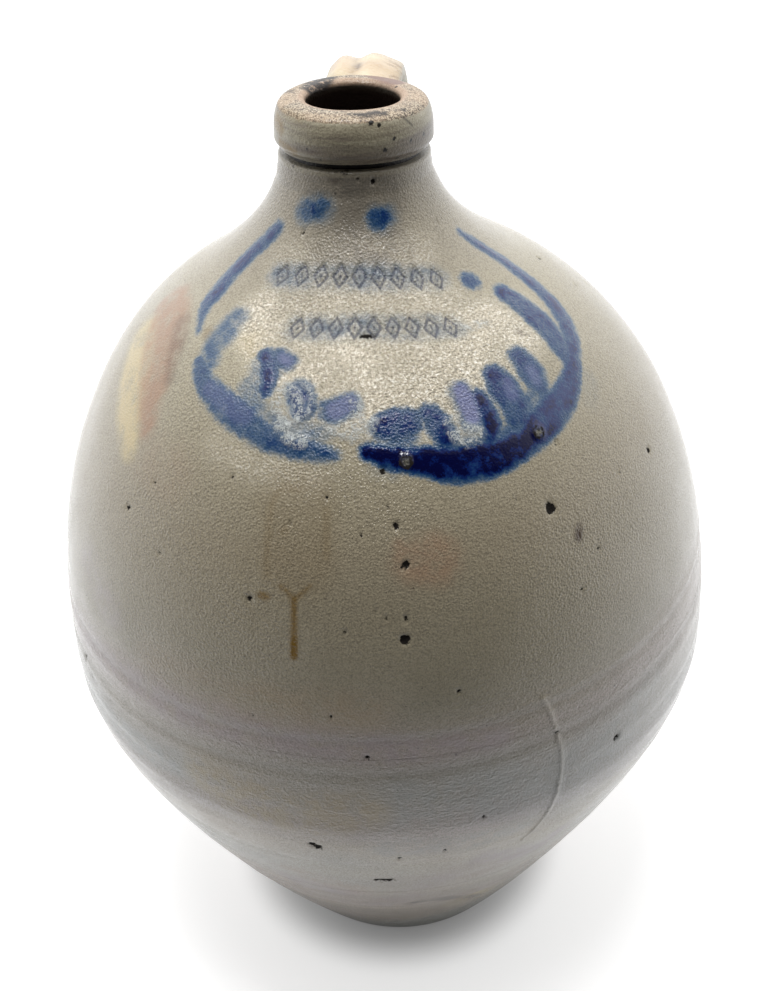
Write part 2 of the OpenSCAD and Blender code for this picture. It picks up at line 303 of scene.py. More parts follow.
# %% [markdown]
# A modifier's input has a name for people and an identifier for scripts. It is set by the
# identifier before the object is first evaluated. Then the result is copied into a plain
# mesh, and the curve with its modifier goes away.

# %% Make plain meshes from a tree
SHARP_ANGLE = math.radians(35)
front_angle = -math.pi / 2 + camera_turn + math.radians(3)


def curve_object(name, points, cyclic):
    """A curve of straight pieces through the given points."""
    curve = bpy.data.curves.new(name, "CURVE")
    curve.dimensions = "3D"
    spline = curve.splines.new("POLY")
    spline.points.add(len(points) - 1)
    flat = np.column_stack((points, np.ones(len(points)))).astype(np.float32)
    spline.points.foreach_set("co", flat.ravel())
    spline.use_cyclic_u = cyclic
    return new_object(name, curve)


def run_tree(source, tree, name, values):
    """Runs a node tree on a curve and returns the outcome as a plain mesh object."""
    modifier = source.modifiers.new(tree.name, "NODES")
    modifier.node_group = tree
    for item in tree.interface.items_tree:
        if item.in_out == "INPUT" and item.name in values:
            modifier[item.identifier] = values[item.name]
    graph = bpy.context.evaluated_depsgraph_get()
    mesh = bpy.data.meshes.new_from_object(source.evaluated_get(graph))
    mesh.name = name
    bpy.data.objects.remove(source)
    return new_object(name, mesh)


def turn(name, line, cyclic, clay, columns=COLUMNS, crowding=CROWDING):
    """Turns an outline of radii and heights round the jug's axis."""
    flat = np.column_stack((line[:, 0] - 1.0, -line[:, 1], np.zeros(len(line))))
    values = {"Columns": columns, "Crowding": crowding, "Facing": front_angle, "Clay": clay}
    made = run_tree(curve_object(name + "_outline", flat, cyclic), turning, name, values)
    face_outwards(made.data)
    made.data.set_sharp_from_angle(angle=SHARP_ANGLE)
    return made


def face_outwards(mesh):
    """Turns the faces round if the closed mesh has a negative volume."""
    mesh.calc_loop_triangles()
    triangles = np.zeros(len(mesh.loop_triangles) * 3, np.int32)
    mesh.loop_triangles.foreach_get("vertices", triangles)
    a, b, c = positions(mesh)[triangles].reshape(-1, 3, 3).swapaxes(0, 1)
    if np.einsum("ij,ij->i", a, np.cross(b, c)).sum() < 0:
        mesh.flip_normals()


def soft(value, low, high):
    """Rises smoothly from 0 to 1 between two values."""
    t = np.clip((value - low) / (high - low), 0, 1)
    return t * t * (3 - 2 * t)


def rows(parts, key, width):
    """What all the parts of a mesh have under one key, as rows of so many numbers."""
    flat = np.zeros(len(parts) * width)
    parts.foreach_get(key, flat)
    return flat.reshape(-1, width)


def positions(mesh):
    """All the mesh's points as rows of x, y and z."""
    return rows(mesh.vertices, "co", 3)


def set_positions(mesh, places):
    """Moves the mesh's points."""
    mesh.vertices.foreach_set("co", np.asarray(places, np.float32).ravel())
    mesh.update()


def store(mesh, **marks):
    """Keeps numbers for each point, which a material can read by their names."""
    for name, values in marks.items():
        kept = mesh.attributes.new(name, "FLOAT", "POINT")
        kept.data.foreach_set("value", np.full(len(mesh.vertices), values, np.float32))


print("from a curve to a plain mesh in two calls: curve_object and run_tree")

# %% [markdown]
# ## Materials need a few short words
#
# A finish is a chain of small nodes. This helper gives each link of the chain a short call,
# so that a glaze reads like a recipe: a noise here, a mark there, mixed by an amount. What is
# the same all over a surface is set on the shader's own sockets.

# %% Write the finish helper


def paint(code):
    """A colour written as on a screen, such as "b4a896", in the shader's linear numbers."""
    parts = [int(code[k:k + 2], 16) / 255 for k in (0, 2, 4)]
    return (*[p / 12.92 if p <= 0.04045 else ((p + 0.055) / 1.055) ** 2.4 for p in parts], 1.0)


def bare_tree(owner):
    """The node tree of a material or a world, emptied."""
    owner.use_nodes = True
    owner.node_tree.nodes.clear()
    return owner.node_tree


class Finish:
    """One node material: a ground colour, and thin layers and textures laid over it in turn."""

    def __init__(self, name, **surface):
        self.material = bpy.data.materials.new(name)
        self.tree = bare_tree(self.material)
        self.shader = self.add("ShaderNodeBsdfPrincipled")
        out = self.add("ShaderNodeOutputMaterial")
        self.tree.links.new(self.shader.outputs[0], out.inputs["Surface"])
        self.place = self.add("ShaderNodeTexCoord").outputs["Object"]
        self.colour = self.skin = None
        for socket, value in surface.items():
            self.shader.inputs[socket.replace("_", " ")].default_value = value

    def add(self, kind, feeds=None, **settings):
        return wire(self.tree, kind, feeds, **settings)

    def mark(self, name):
        """A number that was stored for each point of the mesh."""
        return self.add("ShaderNodeAttribute", attribute_name=name).outputs["Fac"]

    def times(self, a, b):
        return reckon(self.tree, "MULTIPLY", a, b)

    def plus(self, a, b):
        return reckon(self.tree, "ADD", a, b)

    def most(self, a, b):
        return reckon(self.tree, "MAXIMUM", a, b)

    def fit(self, value, *ends):
        return fitted(self.tree, value, *ends)

    def noise(self, scale, detail=2, roughness=0.5, stretch=None):
        where = self.place
        if stretch:
            where = self.add("ShaderNodeMapping", {"Vector": where, "Scale": stretch}).outputs[0]
        feeds = {"Vector": where, "Scale": scale, "Detail": detail, "Roughness": roughness}
        return self.add("ShaderNodeTexNoise", feeds).outputs["Fac"]

    def wobble(self, swing, *grain):
        """A noise that goes as far below zero as above it."""
        return self.times(self.plus(self.noise(*grain), -0.5), swing)

    def cells(self, scale, output="Distance", smooth=0.0):
        feeds = {"Vector": self.place, "Scale": scale}
        node = self.add("ShaderNodeTexVoronoi", feeds, feature="SMOOTH_F1" if smooth else "F1")
        if smooth:
            node.inputs["Smoothness"].default_value = smooth
        return node.outputs[output]

    def mix(self, amount, a, b):
        node = self.add("ShaderNodeMix", {0: amount, 6: a, 7: b}, data_type="RGBA", clamp_factor=True)
        return node.outputs[2]

    def ramp(self, value, stops):
        """A colour for each level of a value, from a table of levels and colour codes."""
        node = self.add("ShaderNodeValToRGB", {"Fac": value})
        points = node.color_ramp.elements
        while len(points) < len(stops):
            points.new(0.5)
        for point, (level, code) in zip(points, stops.items()):
            point.position, point.color = level, paint(code)
        return node.outputs["Color"]

    def lay(self, tint, amount):
        """Lays a tint, a colour code or a mixed colour, over the colour so far."""
        self.colour = self.mix(amount, self.colour, paint(tint) if isinstance(tint, str) else tint)

    def bump(self, height, strength, distance):
        """Adds a texture to the skin so far, for the light alone."""
        feeds = {"Height": height, "Strength": strength, "Distance": distance}
        if self.skin:
            feeds["Normal"] = self.skin
        self.skin = self.add("ShaderNodeBump", feeds).outputs["Normal"]

    def done(self, **sockets):
        sockets.update({"Base Color": self.colour, "Normal": self.skin, "Coat Normal": self.skin})
        for socket, value in sockets.items():
            self.tree.links.new(value, self.shader.inputs[socket.replace("_", " ")])
        return self.material


print("one finish helper ready")

# %% [markdown]
# ## The salt glaze
#
# Salt vapour turns a clay's skin to thin clear glass with an orange-peel texture. The clay
# under it is grey, warmer where air reached it and bluer where it didn't, with dark specks of
# iron. On that lie the painting, the stains, a painted highlight on the shoulder and painted
# shade on the neck, each stored on the mesh as a number: the distance inside a brush stroke in
# millimetres, and how much pigment the brush left.

# %% Mix the glazed clay


def lay_clay(look):
    """The fired clay: bands from foot to neck, with painted shade at the foot and the neck, clouds, bluer
    patches and a fine grain.
    """
    height = look.times(look.mark("height"), 1 / rim_h)
    drift = look.wobble(look.fit(height, 0, 0.3, 0.03, 0.12), 6, 3, 0.6, (1, 1, 3))
    level = look.plus(height, drift)
    # The darkest stops at the foot are painted shade where the foot rounds under, and the darker stops at
    # the neck are painted shade.
    look.colour = look.ramp(level, {
        0.0: "4d4336", 0.05: "6b5e4d", 0.1: "8d7d6b", 0.2: "aa9e91", 0.25: "b0a799", 0.3: "aba8a0",
        0.34: "aca594", 0.385: "a49784", 0.41: "948988", 0.45: "868480", 0.49: "8e887e", 0.526: "9a8c84",
        0.573: "8b846e", 0.63: "99917b", 0.7: "a29780", 0.83: "afa68d", 0.88: "a29985", 0.95: "968e80",
    })
    look.lay("b3aa98", look.fit(look.noise(11, 3, 0.55), 0.42, 0.66, 0, 0.35))
    patches = look.noise(8, 2, 0.5, stretch=(1, 1, 2.2))
    low = look.fit(height, 0.62, 0.3)
    look.lay("8f9796", look.times(look.fit(patches, 0.47, 0.6, 0, 0.55), low))
    look.lay("b39f97", look.times(look.fit(patches, 0.47, 0.36, 0, 0.45), low))
    look.lay("6f6757", look.fit(look.noise(1700, 3, 0.8), 0.42, 0.64, 0, 0.72))


def lay_specks(look):
    """Iron specks: the middles of some of the cells in three sizes of cell pattern."""
    for scale, size, share in ((420, 0.1, 0.72), (150, 0.055, 0.45), (62, 0.035, 0.5)):
        near = look.fit(look.cells(scale), size, size * 0.4)
        chosen = look.add("ShaderNodeSeparateColor", {"Color": look.cells(scale, "Color")}).outputs[0]
        speck = look.times(near, reckon(look.tree, "GREATER_THAN", chosen, share))
        look.lay("2a241e", look.times(speck, 0.85))


def salt_glaze(name):
    """The finish of the two thrown sections, with painting, stains, lozenges and pits."""
    look = Finish(name, Coat_Roughness=0.05, Coat_IOR=1.5, Specular_IOR_Level=0.25)
    lay_clay(look)
    lay_specks(look)
    # Painted highlight: the shoulder under the lamp is painted paler, with white specks as painted glints.
    painted_highlight = look.mark("painted_highlight")
    glint_noise = look.noise(1050, 4, 0.8)
    painted_glints = look.ramp(glint_noise, {0.36: "8a8475", 0.46: "bdb29c", 0.54: "d2c6ae", 0.6: "faf5e9"})
    look.lay(painted_glints, look.times(painted_highlight, look.fit(look.noise(75, 3), 0.38, 0.6, 0.62, 1)))
    # Stains lie in the glaze, so they only tint it, and all but the ochre in a broken way. The grey tint on
    # the neck's front is no stain but painted shade under the lip.
    look.lay("6f5315", look.mark("ochre"))
    broken = look.fit(look.noise(140, 4, 0.7), 0.34, 0.6, 0.35, 1)
    for mark, tint in {"rosy": "93868a", "steel": "838886", "beige": "998a6c", "neck_shade": "6f695f",
                       "cream": "cdba8a", "toast": "a27d62", "umber": "3f2c22"}.items():
        look.lay(tint, look.times(look.mark(mark), broken))
    # Cobalt: a ragged, feathered edge, and more colour where the brush left more pigment.
    feathered = look.wobble(3, 620, 5, 0.8)
    inked = look.fit(look.plus(look.mark("brush_depth"), feathered), -2.8, 2)
    washed = look.fit(look.plus(look.mark("wash_depth"), feathered), -3.2, 3)
    pigment = look.most(look.times(look.mark("pigment"), inked), look.times(look.mark("wash"), washed))
    pigment = look.times(pigment, look.fit(look.noise(240, 6, 0.8), 0.3, 0.7, 0.62, 1.2))
    pigment = look.times(pigment, look.fit(look.noise(95, 3), 0.38, 0.6, 0.84, 1.1))
    blue = look.ramp(pigment, {
        0.0: "8d9391", 0.18: "5e7283", 0.38: "335070", 0.56: "163966", 0.7: "0a1f5a", 0.84: "030633",
    })
    look.lay(blue, look.fit(pigment, 0.01, 0.36))
    look.lay("73779f", look.times(look.mark("lilac"), inked))
    # Thick cobalt blisters and lets white crackle through.
    blistered = look.mark("crackle")
    contour = reckon(look.tree, "ABSOLUTE", look.wobble(1, 260, 5, 0.7))
    vein = look.most(look.fit(contour, 0.04, 0.008), look.fit(look.noise(520, 3, 0.7), 0.56, 0.64))
    crackle = look.times(vein, blistered)
    look.lay("8f979c", look.times(blistered, 0.18))
    look.lay("ced2d0", look.times(crackle, 0.8))
    # Pressed hollows hold a little colour, and pits show dark burnt clay.
    look.lay("2b3148", look.fit(look.mark("lozenge_depth"), 0, 0.5, 0, 0.72))
    stone = look.mark("stone")
    pitted = look.fit(look.plus(look.mark("pit_depth"), look.wobble(2.4, 700, 3, 0.7)), -0.1, 0.35)
    sandy = look.fit(look.noise(1100, 3, 0.8), 0.44, 0.58)
    look.lay(look.mix(sandy, paint("36352f"), paint("7d7a70")), stone)
    look.lay("1c1814", pitted)
    # The foot's edge is raw, a painted highlight lightens the top of the ledge under the collar, and dirt is
    # crusted on that ledge.
    height = look.mark("height")
    raw = look.fit(height, 1.4 * MM, 0.4 * MM)
    look.lay("8d7a63", raw)
    look.lay("a89f8a", look.fit(height, neck_h - 2.2 * MM, neck_h - 1.2 * MM, 0, 0.5))
    crust_h = look.plus(height, look.fit(look.noise(130, 5, 0.75), 0.46, 0.7, 0, 2.2 * MM))
    look.lay("2c221a", look.fit(crust_h, neck_h + 0.8 * MM, neck_h + 1.4 * MM, 0, 0.85))
    run = look.mark("run_depth")
    # A painted highlight lightens the ridge of the glaze run.
    look.lay("c4bfb2", look.fit(run, -0.5, 0.3, 0, 0.18))
    # Orange peel: rounded cells a millimetre across, with finer grain on them, smoother in
    # thick cobalt, and wrinkled sideways round the joint between the sections.
    peel = look.times(look.cells(1300, smooth=0.25), look.fit(look.noise(30), 0.3, 0.7, 0.6, 1.2))
    flow = look.times(look.fit(pigment, 0.35, 0.75, 1, 0.25), look.fit(painted_highlight, 0, 1, 0.5, 1))
    look.bump(peel, flow, 0.36 * MM)
    look.bump(look.noise(1700, 3, 0.75), flow, 0.36 * MM)
    wrinkled = look.times(look.fit(height, 205 * MM, 180 * MM, 0, 0.6), look.fit(height, 115 * MM, 140 * MM))
    look.bump(look.noise(330, 4, 0.7, stretch=(1, 1, 2.4)), wrinkled, 0.7 * MM)
    look.bump(look.fit(run, -0.9, 0.5), 0.4, 0.6 * MM)
    look.bump(crackle, 0.7, 0.3 * MM)
    # Thick cobalt is glassy, and pits, stones and the raw foot have no glaze at all.
    dry = look.most(look.most(pitted, stone), raw)
    glassy = look.fit(pigment, 0.3, 0.75, 0, -0.24)
    roughness = look.plus(look.fit(look.noise(60), 0.3, 0.7, 0.28, 0.42), glassy)
    roughness = look.most(roughness, look.times(dry, 0.9))
    return look.done(Roughness=roughness, Coat_Weight=look.fit(dry, 0, 1, 0.8, 0))


body_clay = salt_glaze("salt_glazed_clay")
print(f"salt glaze: {len(body_clay.node_tree.nodes)} nodes")

# %% [markdown]
# ## Lip, strap and slip
#
# The top of the rim was wiped before the firing, so it is sandy and speckled brown. The
# strap took more heat and less salt, and is tan. The slip inside is a dark brown glaze.

# %% Mix the other finishes


def lip_finish(name):
    """Grey-olive collar with a sandy, speckled top, dark throat, painted shade low on its side and painted
    shade in the groove.
    """
    look = Finish(name, Coat_Weight=0.4, Coat_Roughness=0.1, IOR=1.46)
    streaks = look.noise(60, 4, 0.65, stretch=(0.35, 0.35, 4))
    look.colour = look.ramp(streaks, {0.36: "6f645a", 0.46: "8b8272", 0.54: "9e9680", 0.64: "b3ab94"})
    lay_specks(look)
    # Painted shade: the collar's side darkens towards its foot.
    look.lay("746a61", look.fit(look.mark("height"), neck_h + 8 * MM, neck_h + 3 * MM, 0, 0.3))
    sand = look.noise(1900, 3, 0.75)
    look.lay("5d5448", look.fit(sand, 0.46, 0.64, 0, 0.45))
    side = look.colour
    look.colour = look.ramp(sand, {0.42: "2f251d", 0.47: "7f6f5c", 0.53: "b5a68f", 0.66: "d3c6af"})
    look.lay("c6a888", look.fit(look.noise(90, 3), 0.4, 0.62, 0, 0.35))
    look.lay("33281f", look.fit(look.noise(700, 4, 0.8), 0.55, 0.62, 0, 0.8))
    look.lay("b0947c", look.times(look.mark("bevel"), 0.7))
    wiped = look.fit(look.plus(look.mark("rim_top"), look.wobble(1.3, 300, 4, 0.75)), 0.3, 0.7)
    look.colour = look.mix(wiped, side, look.colour)
    look.lay("83692f", look.mark("ochre"))
    look.lay("7d6258", look.mark("toast"))
    look.lay("1f1610", look.times(look.mark("umber"), look.fit(look.noise(520, 4, 0.8), 0.34, 0.5)))
    pit = look.plus(look.mark("pit_depth"), look.wobble(1.6, 800, 3, 0.7))
    look.lay("17130f", look.fit(pit, -0.1, 0.3))
    # Painted shade fills the groove under the lip.
    look.lay("100c09", look.mark("grime"))
    look.lay("1a100b", look.mark("throat"))
    look.bump(look.cells(1300, smooth=0.3), 0.4, 0.25 * MM)
    look.bump(sand, 0.5, 0.25 * MM)
    look.bump(streaks, 0.3, 0.5 * MM)
    return look.done(Roughness=look.fit(look.mark("rim_top"), 0.2, 0.8, 0.3, 0.6))


def strap_finish(name):
    """Tan to cream glaze, with painted shade olive along its sides and underside and browner in the groove
    between the ribs.
    """
    look = Finish(name, Coat_Weight=0.4, Coat_Roughness=0.12, IOR=1.46)
    clouds = look.noise(70, 4, 0.65)
    look.colour = look.ramp(clouds, {0.35: "bda886", 0.5: "cfc0a0", 0.68: "ddd1b5"})
    look.lay("c4a488", look.fit(look.noise(28), 0.52, 0.64, 0, 0.4))
    # Painted shade: olive on the strap's sides and underside, browner in the groove between the ribs.
    look.lay("9a9474", look.mark("edge"))
    look.lay("8a7458", look.times(look.mark("hollow"), 0.45))
    look.lay("8d7251", look.times(look.fit(look.noise(240, 4, 0.75), 0.5, 0.6), look.mark("right_side")))
    lay_specks(look)
    look.lay("4f3d2f", look.mark("umber"))
    look.bump(look.cells(850, smooth=0.35), 0.5, 0.35 * MM)
    look.bump(look.noise(300, 3), 0.5, 0.5 * MM)
    return look.done(Roughness=look.fit(clouds, 0.3, 0.7, 0.32, 0.5))


def slip_finish(name):
    """Dark brown slip with thin places and runs."""
    look = Finish(name, IOR=1.5)
    runs = look.noise(30, 4, 0.6, stretch=(2, 2, 0.4))
    look.colour = look.ramp(runs, {0.35: "1c110c", 0.6: "33201a"})
    look.bump(look.noise(200, 3), 0.3, 0.4 * MM)
    return look.done(Roughness=look.fit(runs, 0.3, 0.7, 0.28, 0.5))


lip_clay = lip_finish("lip_clay")
handle_clay = strap_finish("handle_clay")
brown_slip = slip_finish("brown_slip")
print("four finishes mixed")

# %% [markdown]
# ## Turning the pieces
#
# Rows of points are a millimetre apart on the outside and wider apart inside. The two
# sections meet in a bevelled lap, where the upper one closes over the lower one.

# %% Turn the two sections
OUTSIDE_STEP, LOW_OUTSIDE_STEP, INSIDE_STEP = 1.05 * MM, 1.25 * MM, 7 * MM
COVE_START, COVE_BEND = 1.6 * cove_h, 0.5 * cove_h
edge_round = 0.9 * MM
seam_in_h = seam_h + seam_bevel * 0.78


def cove(wall_foot, level):
    """The curve between the floor, at its level, and the foot of a wall's line."""
    return corner((wall_foot[0] - COVE_START, level), (wall_foot[0] - COVE_BEND, level), wall_foot, 6)


base_line = corner((foot_r - foot_round, 0), (foot_r, 0), (radius_at(foot_round), foot_round), 6)
low_inside = between(inner_line, floor_t + cove_h, seam_in_h)
floor_edge = cove(low_inside[0], floor_t)
lower_line = np.concatenate((
    [[0.0, 0.0], [foot_r * 0.5, 0.0]],
    base_line,
    evenly(between(outer_line, foot_round, seam_h), LOW_OUTSIDE_STEP)[1:],
    evenly(low_inside, INSIDE_STEP)[::-1],
    floor_edge[::-1][1:],
    [[0.0, floor_t]],
))
high_outside = evenly(between(outer_line, seam_h, neck_h - edge_round), OUTSIDE_STEP)
upper_line = np.concatenate((
    high_outside,
    corner(high_outside[-1], neck_p, neck_p - edge_round * outward, 4)[1:],
    evenly(between(inner_line, seam_in_h, neck_h), INSIDE_STEP)[::-1],
))
lower_body = turn("jug_lower_body", lower_line, False, body_clay)
upper_body = turn("jug_upper_body", upper_line, True, body_clay)
for piece in (lower_body, upper_body):
    piece.data.calc_loop_triangles()
    print(f"{piece.name}: {len(piece.data.loop_triangles)} triangles")

# %% Turn the collar and the slip
LIP_STEP, THROAT_STEP, SLIP_STEP = 0.35 * MM, 1.5 * MM, 3 * MM
lip_r, lip_low_r, rim_r, rim_fall = 24.8 * MM, 23.6 * MM, 22.8 * MM, 1.2 * MM
groove_r, groove_h, mouth_round = neck_r - 2.6 * MM, 1.8 * MM, 2 * MM
groove_top = neck_h + groove_h
lip_full_h = neck_h + 0.42 * (rim_h - neck_h)
lip_low_p = np.array((lip_low_r, groove_top + edge_round))
lip_full_p = np.array((lip_r, lip_full_h))
rim_edge_p = np.array((rim_r, rim_h - rim_fall))
rim_crest_p = np.array((throat_r + mouth_round, rim_h))
low_pull = 0.6 * (lip_full_h - lip_low_p[1])
high_pull = 0.55 * (rim_edge_p[1] - lip_full_h)
rim_way = rim_fall * (rise - outward) / math.sqrt(2)
lip_outside = np.concatenate((
    corner((lip_low_r - edge_round, groove_top), (lip_low_r, groove_top), lip_low_p, 4),
    arc(lip_low_p, low_pull * (rise + outward) / math.sqrt(2), low_pull * rise, lip_full_p)[1:],
    arc(lip_full_p, high_pull * rise, rim_way, rim_edge_p)[1:],
    arc(rim_edge_p, rim_way, ROUND_PULL * (rim_crest_p[0] - rim_r) * outward, rim_crest_p)[1:],
    corner(rim_crest_p, (throat_r, rim_h), (throat_r, rim_h - mouth_round), 60)[1:],
))
collar_line = np.concatenate((
    [[groove_r, neck_h], [groove_r, neck_h + 0.5 * groove_h], [groove_r, groove_top]],
    evenly(lip_outside, LIP_STEP),
    evenly(np.array(((throat_r, rim_h - mouth_round), (throat_r, neck_h))), THROAT_STEP)[1:],
))
lip_collar = turn("jug_lip_collar", collar_line, True, lip_clay, columns=360, crowding=0.3)
slip_skin = between(slip_line, floor_t + cove_h, neck_h)
slip_profile = np.concatenate((
    [[0.0, floor_t]],
    floor_edge,
    evenly(between(inner_line, floor_t + cove_h, neck_h), SLIP_STEP)[1:],
    evenly(slip_skin, SLIP_STEP)[::-1],
    cove(slip_skin[0], floor_t + slip_t)[::-1][1:],
    [[0.0, floor_t + slip_t]],
))
slip_lining = turn("jug_slip_lining", slip_profile, False, brown_slip, columns=160, crowding=0.0)
for piece in (lip_collar, slip_lining):
    print(f"{piece.name}: {len(piece.data.vertices)} points")

# %% [markdown]
# ## The strap handle
#
# A strap is pulled from a lump of wet clay, so its section narrows as it goes. Geometry
# Nodes sweep the ribbed section along the path, at a scale that each path point carries as
# its radius. Then the tail is pressed flat on the shoulder, which a sweep alone can't do.

# %% Build the strap tree
strapping, given, result = new_tree("strapping", [("Section", "Object", None), ("Clay", "Material", None)])
section = wire(strapping, "GeometryNodeObjectInfo", {"Object": given["Section"]})
sideways = wire(strapping, "GeometryNodeSetCurveNormal", {"Curve": given["Geometry"]}, mode="FREE")
sideways.inputs["Normal"].default_value = (1, 0, 0)
strap_sweep = wire(strapping, "GeometryNodeCurveToMesh", {
    "Curve": sideways.outputs[0],
    "Profile Curve": section.outputs["Geometry"],
    "Scale": wire(strapping, "GeometryNodeInputRadius").outputs[0],
    "Fill Caps": True,
})
last_steps(strapping, strap_sweep.outputs[0], given["Clay"], result[0])
print(f"strap tree: {len(strapping.nodes)} nodes")

# %% Sweep the strap
SECTION_SIDES, TAIL_RINGS = 72, 24
SQUARENESS, RIB_SHIFT = 0.8, 0.27
strap_w, strap_t, strap_low_w, strap_low_t = 25 * MM, 11 * MM, 22 * MM, 9.5 * MM
strap_reach, strap_crest, land_r = 75 * MM, 0.2 * MM, 80 * MM
tail_l, tail_w, tail_t, tail_dive = 22 * MM, 27 * MM, 6.5 * MM, 3 * MM
wad_r, wad_h, rib_d = 22 * MM, 3 * MM, 1.6 * MM
root_way = unit(math.radians(14))
above_belly = outer_line[FINE:]
land_h = float(np.interp(land_r, above_belly[:0:-1, 0], above_belly[:0:-1, 1]))
nearby = np.argmin(np.abs(above_belly[:, 1] - land_h))
down_shoulder = above_belly[nearby] - above_belly[nearby + 1]
down_shoulder /= np.linalg.norm(down_shoulder)
off_shoulder = np.array((-down_shoulder[1], down_shoulder[0]))
land_base = np.array((land_r, land_h))
land_p = land_base + wad_h * off_shoulder
root_p = np.array((groove_r, rim_h - rim_fall - strap_t / 2))
crest_p = np.array((root_p[0] + 0.3 * (strap_reach - root_p[0]), rim_h + strap_crest - strap_t / 2))
bow_p = np.array((strap_reach, land_p[1] + 0.5 * (crest_p[1] - land_p[1])))
tail_p = land_base + tail_l * down_shoulder - tail_dive * off_shoulder
reach, bow_out = 0.5 * (crest_p[0] - root_p[0]), 0.6 * (bow_p[0] - crest_p[0])
bow_drop, landing = 0.6 * (crest_p[1] - bow_p[1]), 0.55 * (bow_p[1] - land_p[1])
path = np.concatenate((
    arc(root_p, reach * root_way, reach * outward, crest_p, 24),
    arc(crest_p, bow_out * outward, -bow_drop * rise, bow_p, 30)[1:],
    arc(bow_p, -landing * rise, landing / 2 * down_shoulder, land_p, 24)[1:],
    arc(land_p, tail_l / 2 * down_shoulder, tail_l / 4 * down_shoulder, tail_p, TAIL_RINGS)[1:],
))
print(f"strap path: {len(path)} points, lands {land_h / MM:.0f} mm up the shoulder")
low_share = strap_low_w / strap_w
strap_scale = np.interp(np.linspace(0, 1, len(path)), (0, 0.25, 0.75, 1), (1, 1, low_share, low_share))
around = np.linspace(0, 2 * math.pi, SECTION_SIDES, endpoint=False)
upper_half = np.sin(around) > 0


def squarish(wave):
    """Rounds a wave's top a little less than a circle does."""
    return np.sign(wave) * np.abs(wave) ** SQUARENESS


across = squarish(np.cos(around))
off_middle = across + RIB_SHIFT * (1 - across**2)
ribs = (1 + np.cos(2 * math.pi * (off_middle + 1))) / 2
smooth_half = squarish(np.sin(around)) * strap_t / 2
through = smooth_half - np.where(upper_half, rib_d * ribs * np.sin(around), 0)
section_line = np.column_stack((across * strap_w / 2, through, 0 * across))
section_curve = curve_object("strap_section", section_line, True)
centres = np.column_stack((0 * path[:, 0], path))
path_curve = curve_object("strap_path", centres, False)
path_curve.data.splines[0].points.foreach_set("radius", strap_scale.astype(np.float32))
strap = run_tree(path_curve, strapping, "jug_strap_handle", {"Section": section_curve, "Clay": handle_clay})
bpy.data.objects.remove(section_curve)
print(f"strap sweep: {len(strap.data.vertices)} points in {len(path)} rings")

# %% Press the tail and close its end
HAND_WAVE, STREAK_WAVE = 0.35 * MM, 0.12 * MM
places = positions(strap.data)
rings = places[:len(path) * SECTION_SIDES].reshape(len(path), SECTION_SIDES, 3)
ways = np.gradient(path, axis=0)
ways /= np.linalg.norm(ways, axis=1)[:, None]
off_path = np.column_stack((0 * ways[:, 0], -ways[:, 1], ways[:, 0]))
local_y = np.einsum("ijk,ik->ij", rings - centres[:, None, :], off_path)
if local_y[0][np.argmax(through)] < 0:
    local_y = -local_y
ring_number = np.arange(len(path))
tail_share = np.clip((ring_number - (len(path) - 1 - TAIL_RINGS)) / TAIL_RINGS, 0, 1)
spread = soft(tail_share, 0, 0.7)
shut = np.sqrt(np.clip(1 - (0.97 * tail_share**2) ** 2, 0, 1))
wider = (1 + spread * (tail_w / strap_low_w - 1)) * shut
thinner = (1 + spread * (tail_t / strap_low_t - 1)) * shut
handmade = HAND_WAVE * np.sin(ring_number[:, None] * 0.31 + 2 * np.sin(around))
streaking = STREAK_WAVE * np.sin(9 * across + 1.3 * np.sin(5 * across)) * upper_half
local_y = local_y + spread[:, None] * (smooth_half * strap_scale[:, None] - local_y)
along = lengths_along(path)
askew = np.interp(along / along[-1], (0, 0.2, 0.55, 1), (1 * MM, 1 * MM, 3 * MM, 0))
lifted = local_y * thinner[:, None] + handmade * 0.5 + streaking * (1 - spread[:, None])
aside = rings[:, :, 0] * wider[:, None] + 0.4 * handmade + askew[:, None]
rings[:] = centres[:, None, :] + lifted[:, :, None] * off_path[:, None, :]
rings[:, :, 0] = aside
set_positions(strap.data, places)
face_outwards(strap.data)
top_side = np.clip(np.sin(around), 0, 1) ** 0.5
store(
    strap.data,
    # Painted shade on the sides and underside, and in the groove between the ribs.
    edge=np.tile(np.clip(1.15 - 1.5 * top_side, 0, 1), len(path)),
    hollow=np.outer(1 - spread, ribs**8 * top_side).ravel(),
    right_side=np.tile(soft(across, 0.35, 0.85) * 0.75, len(path)),
)
print(f"strap handle stands {rings[:, :, 1].max() / MM:.0f} mm behind the axis")

# %% [markdown]
# ## The wad
#
# A soft wad of clay lutes the strap's tail to the shoulder. It is a cap turned on the same
# wheel tree, tipped on to the shoulder and pinched by fingers into a few soft lobes.

# %% Turn and seat the wad
LOBE_HEIGHT = 0.6 * MM
edge_drop = wad_h + wad_r**2 / (2 * land_r)
ball_r = (wad_r**2 + edge_drop**2) / (2 * edge_drop)
cap_angles = np.linspace(0, math.asin(1.3 * wad_r / ball_r), 60)
cap = np.column_stack((ball_r * np.sin(cap_angles), ball_r * np.cos(cap_angles) - ball_r + wad_h))
wad_line = np.concatenate((cap, [[0.0, cap[-1, 1]]]))
wad = turn("jug_handle_wad", wad_line[::-1], False, body_clay, columns=120, crowding=0.0)
places = positions(wad.data)
lobes = np.arctan2(places[:, 1], places[:, 0])
far = np.hypot(places[:, 0], places[:, 1]) / wad_r
places[:, 2] += LOBE_HEIGHT * np.sin(3 * lobes + 0.8) * np.clip(far, 0, 1) * np.clip(1.3 - far, 0, 1)
tip = Matrix.Rotation(-math.atan2(off_shoulder[0], off_shoulder[1]), 3, "X")
places = places @ np.array(tip).T + (0.0, *land_base)
set_positions(wad.data, places)
print("wad seated", [round(v / MM) for v in places.mean(axis=0)])

